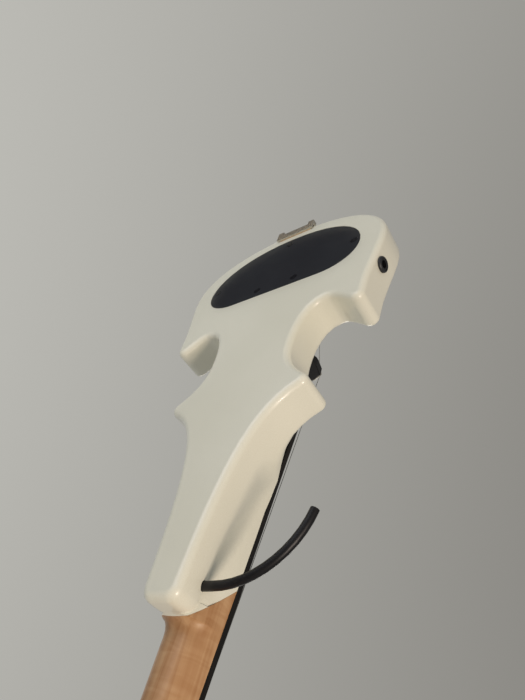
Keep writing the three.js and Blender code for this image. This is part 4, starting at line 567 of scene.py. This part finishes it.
dress([f"string_{s}" for s in STRINGS], STEEL, edge=0.0)
dress([f"winding_{s}" for s in STRINGS], STEEL, edge=0.0)
dress([f"peg_{s}" for s in STRINGS], EBONY, edge=PEG_EDGE)


# Chin rest: a dished ebony cup on two cork pads, held by a nickel plated clamp whose
# two barrels draw its corked foot up against the back
CORK_DARK = "84694A"
CORK_LIGHT = "BFA582"
CHINREST_EDGE = 0.0006
CORK_EDGE = 0.0001


def cork():
    finish, shader = open_finish("cork", roughness=0.85)
    grains = mottle(finish, scale=900.0, kind="ShaderNodeTexVoronoi")
    bark = shade_between(finish, grains, CORK_DARK, CORK_LIGHT, low=0.1, high=0.6)
    paint_with(finish, shader, bark)
    raise_relief(finish, shader, grains, strength=0.4, depth=0.0002)
    return finish


dress(["chinrest"], EBONY, edge=CHINREST_EDGE)
dress(["chinrest_cork_1", "chinrest_cork_2", "clamp_cork"], cork(), edge=CORK_EDGE)
dress(["clamp_bracket", "clamp_barrel_1", "clamp_barrel_2", "clamp_foot"], NICKEL)


# Floor: a plain pale plane just under the violin, seen only from above, so that the
# camera below looks past it. It takes the violin's shadow, and throws none itself
HALF_FLOOR = 3.0
FLOOR_GAP = 0.0005
FLOOR_DARK = "D0CFCA"
FLOOR_LIGHT = "D4D3CE"


def floor_finish():
    finish, shader = open_finish("floor", roughness=0.7)
    tint = shade_between(finish, mottle(finish, scale=3.0), FLOOR_DARK, FLOOR_LIGHT)
    paint_with(finish, shader, tint)
    nodes, links = finish.node_tree.nodes, finish.node_tree.links
    side = nodes.new("ShaderNodeNewGeometry")
    clear = nodes.new("ShaderNodeBsdfTransparent")
    choose = nodes.new("ShaderNodeMixShader")
    links.new(side.outputs["Backfacing"], choose.inputs["Fac"])
    links.new(shader.outputs["BSDF"], choose.inputs[1])
    links.new(clear.outputs["BSDF"], choose.inputs[2])
    links.new(choose.outputs["Shader"], nodes["Material Output"].inputs["Surface"])
    return finish


floor_height = cad_bounds[0].z - FLOOR_GAP
floor_corners = [
    (x * HALF_FLOOR, y * HALF_FLOOR, floor_height)
    for x, y in ((-1, -1), (1, -1), (1, 1), (-1, 1))
]
floor_data = bpy.data.meshes.new("floor")
floor_data.from_pydata(floor_corners, [], [(0, 1, 2, 3)])
floor_data.materials.append(floor_finish())
floor = bpy.data.objects.new("floor", floor_data)
bpy.context.scene.collection.objects.link(floor)
floor.visible_diffuse = False
floor.visible_shadow = False


# Room: a pale grey wall all round, darker to the right and towards the neck. The
# camera, glossy and see-through surfaces see the wall, and all else gets even light
ROOM_LIGHT = "F4F4F6"
ROOM_STRENGTH = 0.37
WALL_LIGHT = "BDBCB6"
WALL_DARK = "8A8883"
WALL_LIGHT_AT = 0.1
WALL_DARK_AT = 0.9
DARKER_RIGHT = 1.4
DARKER_DOWN = 0.35
DARKER_WAY = (CAMERA_RIGHT * DARKER_RIGHT - CAMERA_UP * DARKER_DOWN).to_tuple()

world = bpy.data.worlds.new("room")
bpy.context.scene.world = world
world.use_nodes = True
room_nodes, room_links = world.node_tree.nodes, world.node_tree.links
room_light = room_nodes["Background"]
room_light.inputs["Color"].default_value = linear(ROOM_LIGHT)
room_light.inputs["Strength"].default_value = ROOM_STRENGTH
wall = room_nodes.new("ShaderNodeBackground")
heading = room_nodes.new("ShaderNodeTexCoord")
dimming = room_nodes.new("ShaderNodeVectorMath")
dimming.operation = "DOT_PRODUCT"
dimming.inputs[1].default_value = DARKER_WAY
to_share = room_nodes.new("ShaderNodeMapRange")
to_share.inputs["From Min"].default_value = -1.0
wall_shade = room_nodes.new("ShaderNodeValToRGB")
wall_shade.color_ramp.elements[0].position = WALL_LIGHT_AT
wall_shade.color_ramp.elements[0].color = linear(WALL_LIGHT)
wall_shade.color_ramp.elements[1].position = WALL_DARK_AT
wall_shade.color_ramp.elements[1].color = linear(WALL_DARK)
room_links.new(heading.outputs["Generated"], dimming.inputs[0])
room_links.new(dimming.outputs["Value"], to_share.inputs["Value"])
room_links.new(to_share.outputs["Result"], wall_shade.inputs["Fac"])
room_links.new(wall_shade.outputs["Color"], wall.inputs["Color"])

ray = room_nodes.new("ShaderNodeLightPath")
through_or_mirrored = room_nodes.new("ShaderNodeMath")
through_or_mirrored.operation = "MAXIMUM"
room_links.new(ray.outputs["Is Transmission Ray"], through_or_mirrored.inputs[0])
room_links.new(ray.outputs["Is Glossy Ray"], through_or_mirrored.inputs[1])
seen_any_way = room_nodes.new("ShaderNodeMath")
seen_any_way.operation = "MAXIMUM"
room_links.new(ray.outputs["Is Camera Ray"], seen_any_way.inputs[0])
room_links.new(through_or_mirrored.outputs[0], seen_any_way.inputs[1])
pick = room_nodes.new("ShaderNodeMixShader")
room_links.new(seen_any_way.outputs[0], pick.inputs["Fac"])
room_links.new(room_light.outputs[0], pick.inputs[1])
room_links.new(wall.outputs[0], pick.inputs[2])
room_links.new(pick.outputs[0], room_nodes["World Output"].inputs["Surface"])


# Lamps: a warm bulb beside the neck, a cool window behind the back and a ceiling light.
# Each has a direction from the violin's middle, a distance, a size, a power and a colour
VIOLIN_MIDDLE = Vector((-0.06, 0.02, 0.02))
LAMPS = [
    ("bulb", (-0.64, 0.77, -0.16), 1.3, 0.34, 10.0, "FFEDDD"),
    ("window", (0.3, -0.1, -0.95), 0.95, 0.62, 3.55, "F4F6FF"),
    ("ceiling", (-0.05, -0.45, 0.9), 1.9, 1.2, 9.0, "FFFAF2"),
]

for lamp_name, way, distance, size, power, colour in LAMPS:
    lamp_data = bpy.data.lights.new(lamp_name, "AREA")
    lamp_data.shape = "DISK"
    lamp_data.size = size
    lamp_data.energy = power
    lamp_data.color = linear(colour)[:3]
    lamp = bpy.data.objects.new(lamp_name, lamp_data)
    bpy.context.scene.collection.objects.link(lamp)
    lamp.location = VIOLIN_MIDDLE + Vector(way).normalized() * distance
    facing = (lamp.location - VIOLIN_MIDDLE).to_track_quat("Z", "Y")
    lamp.rotation_euler = facing.to_euler()
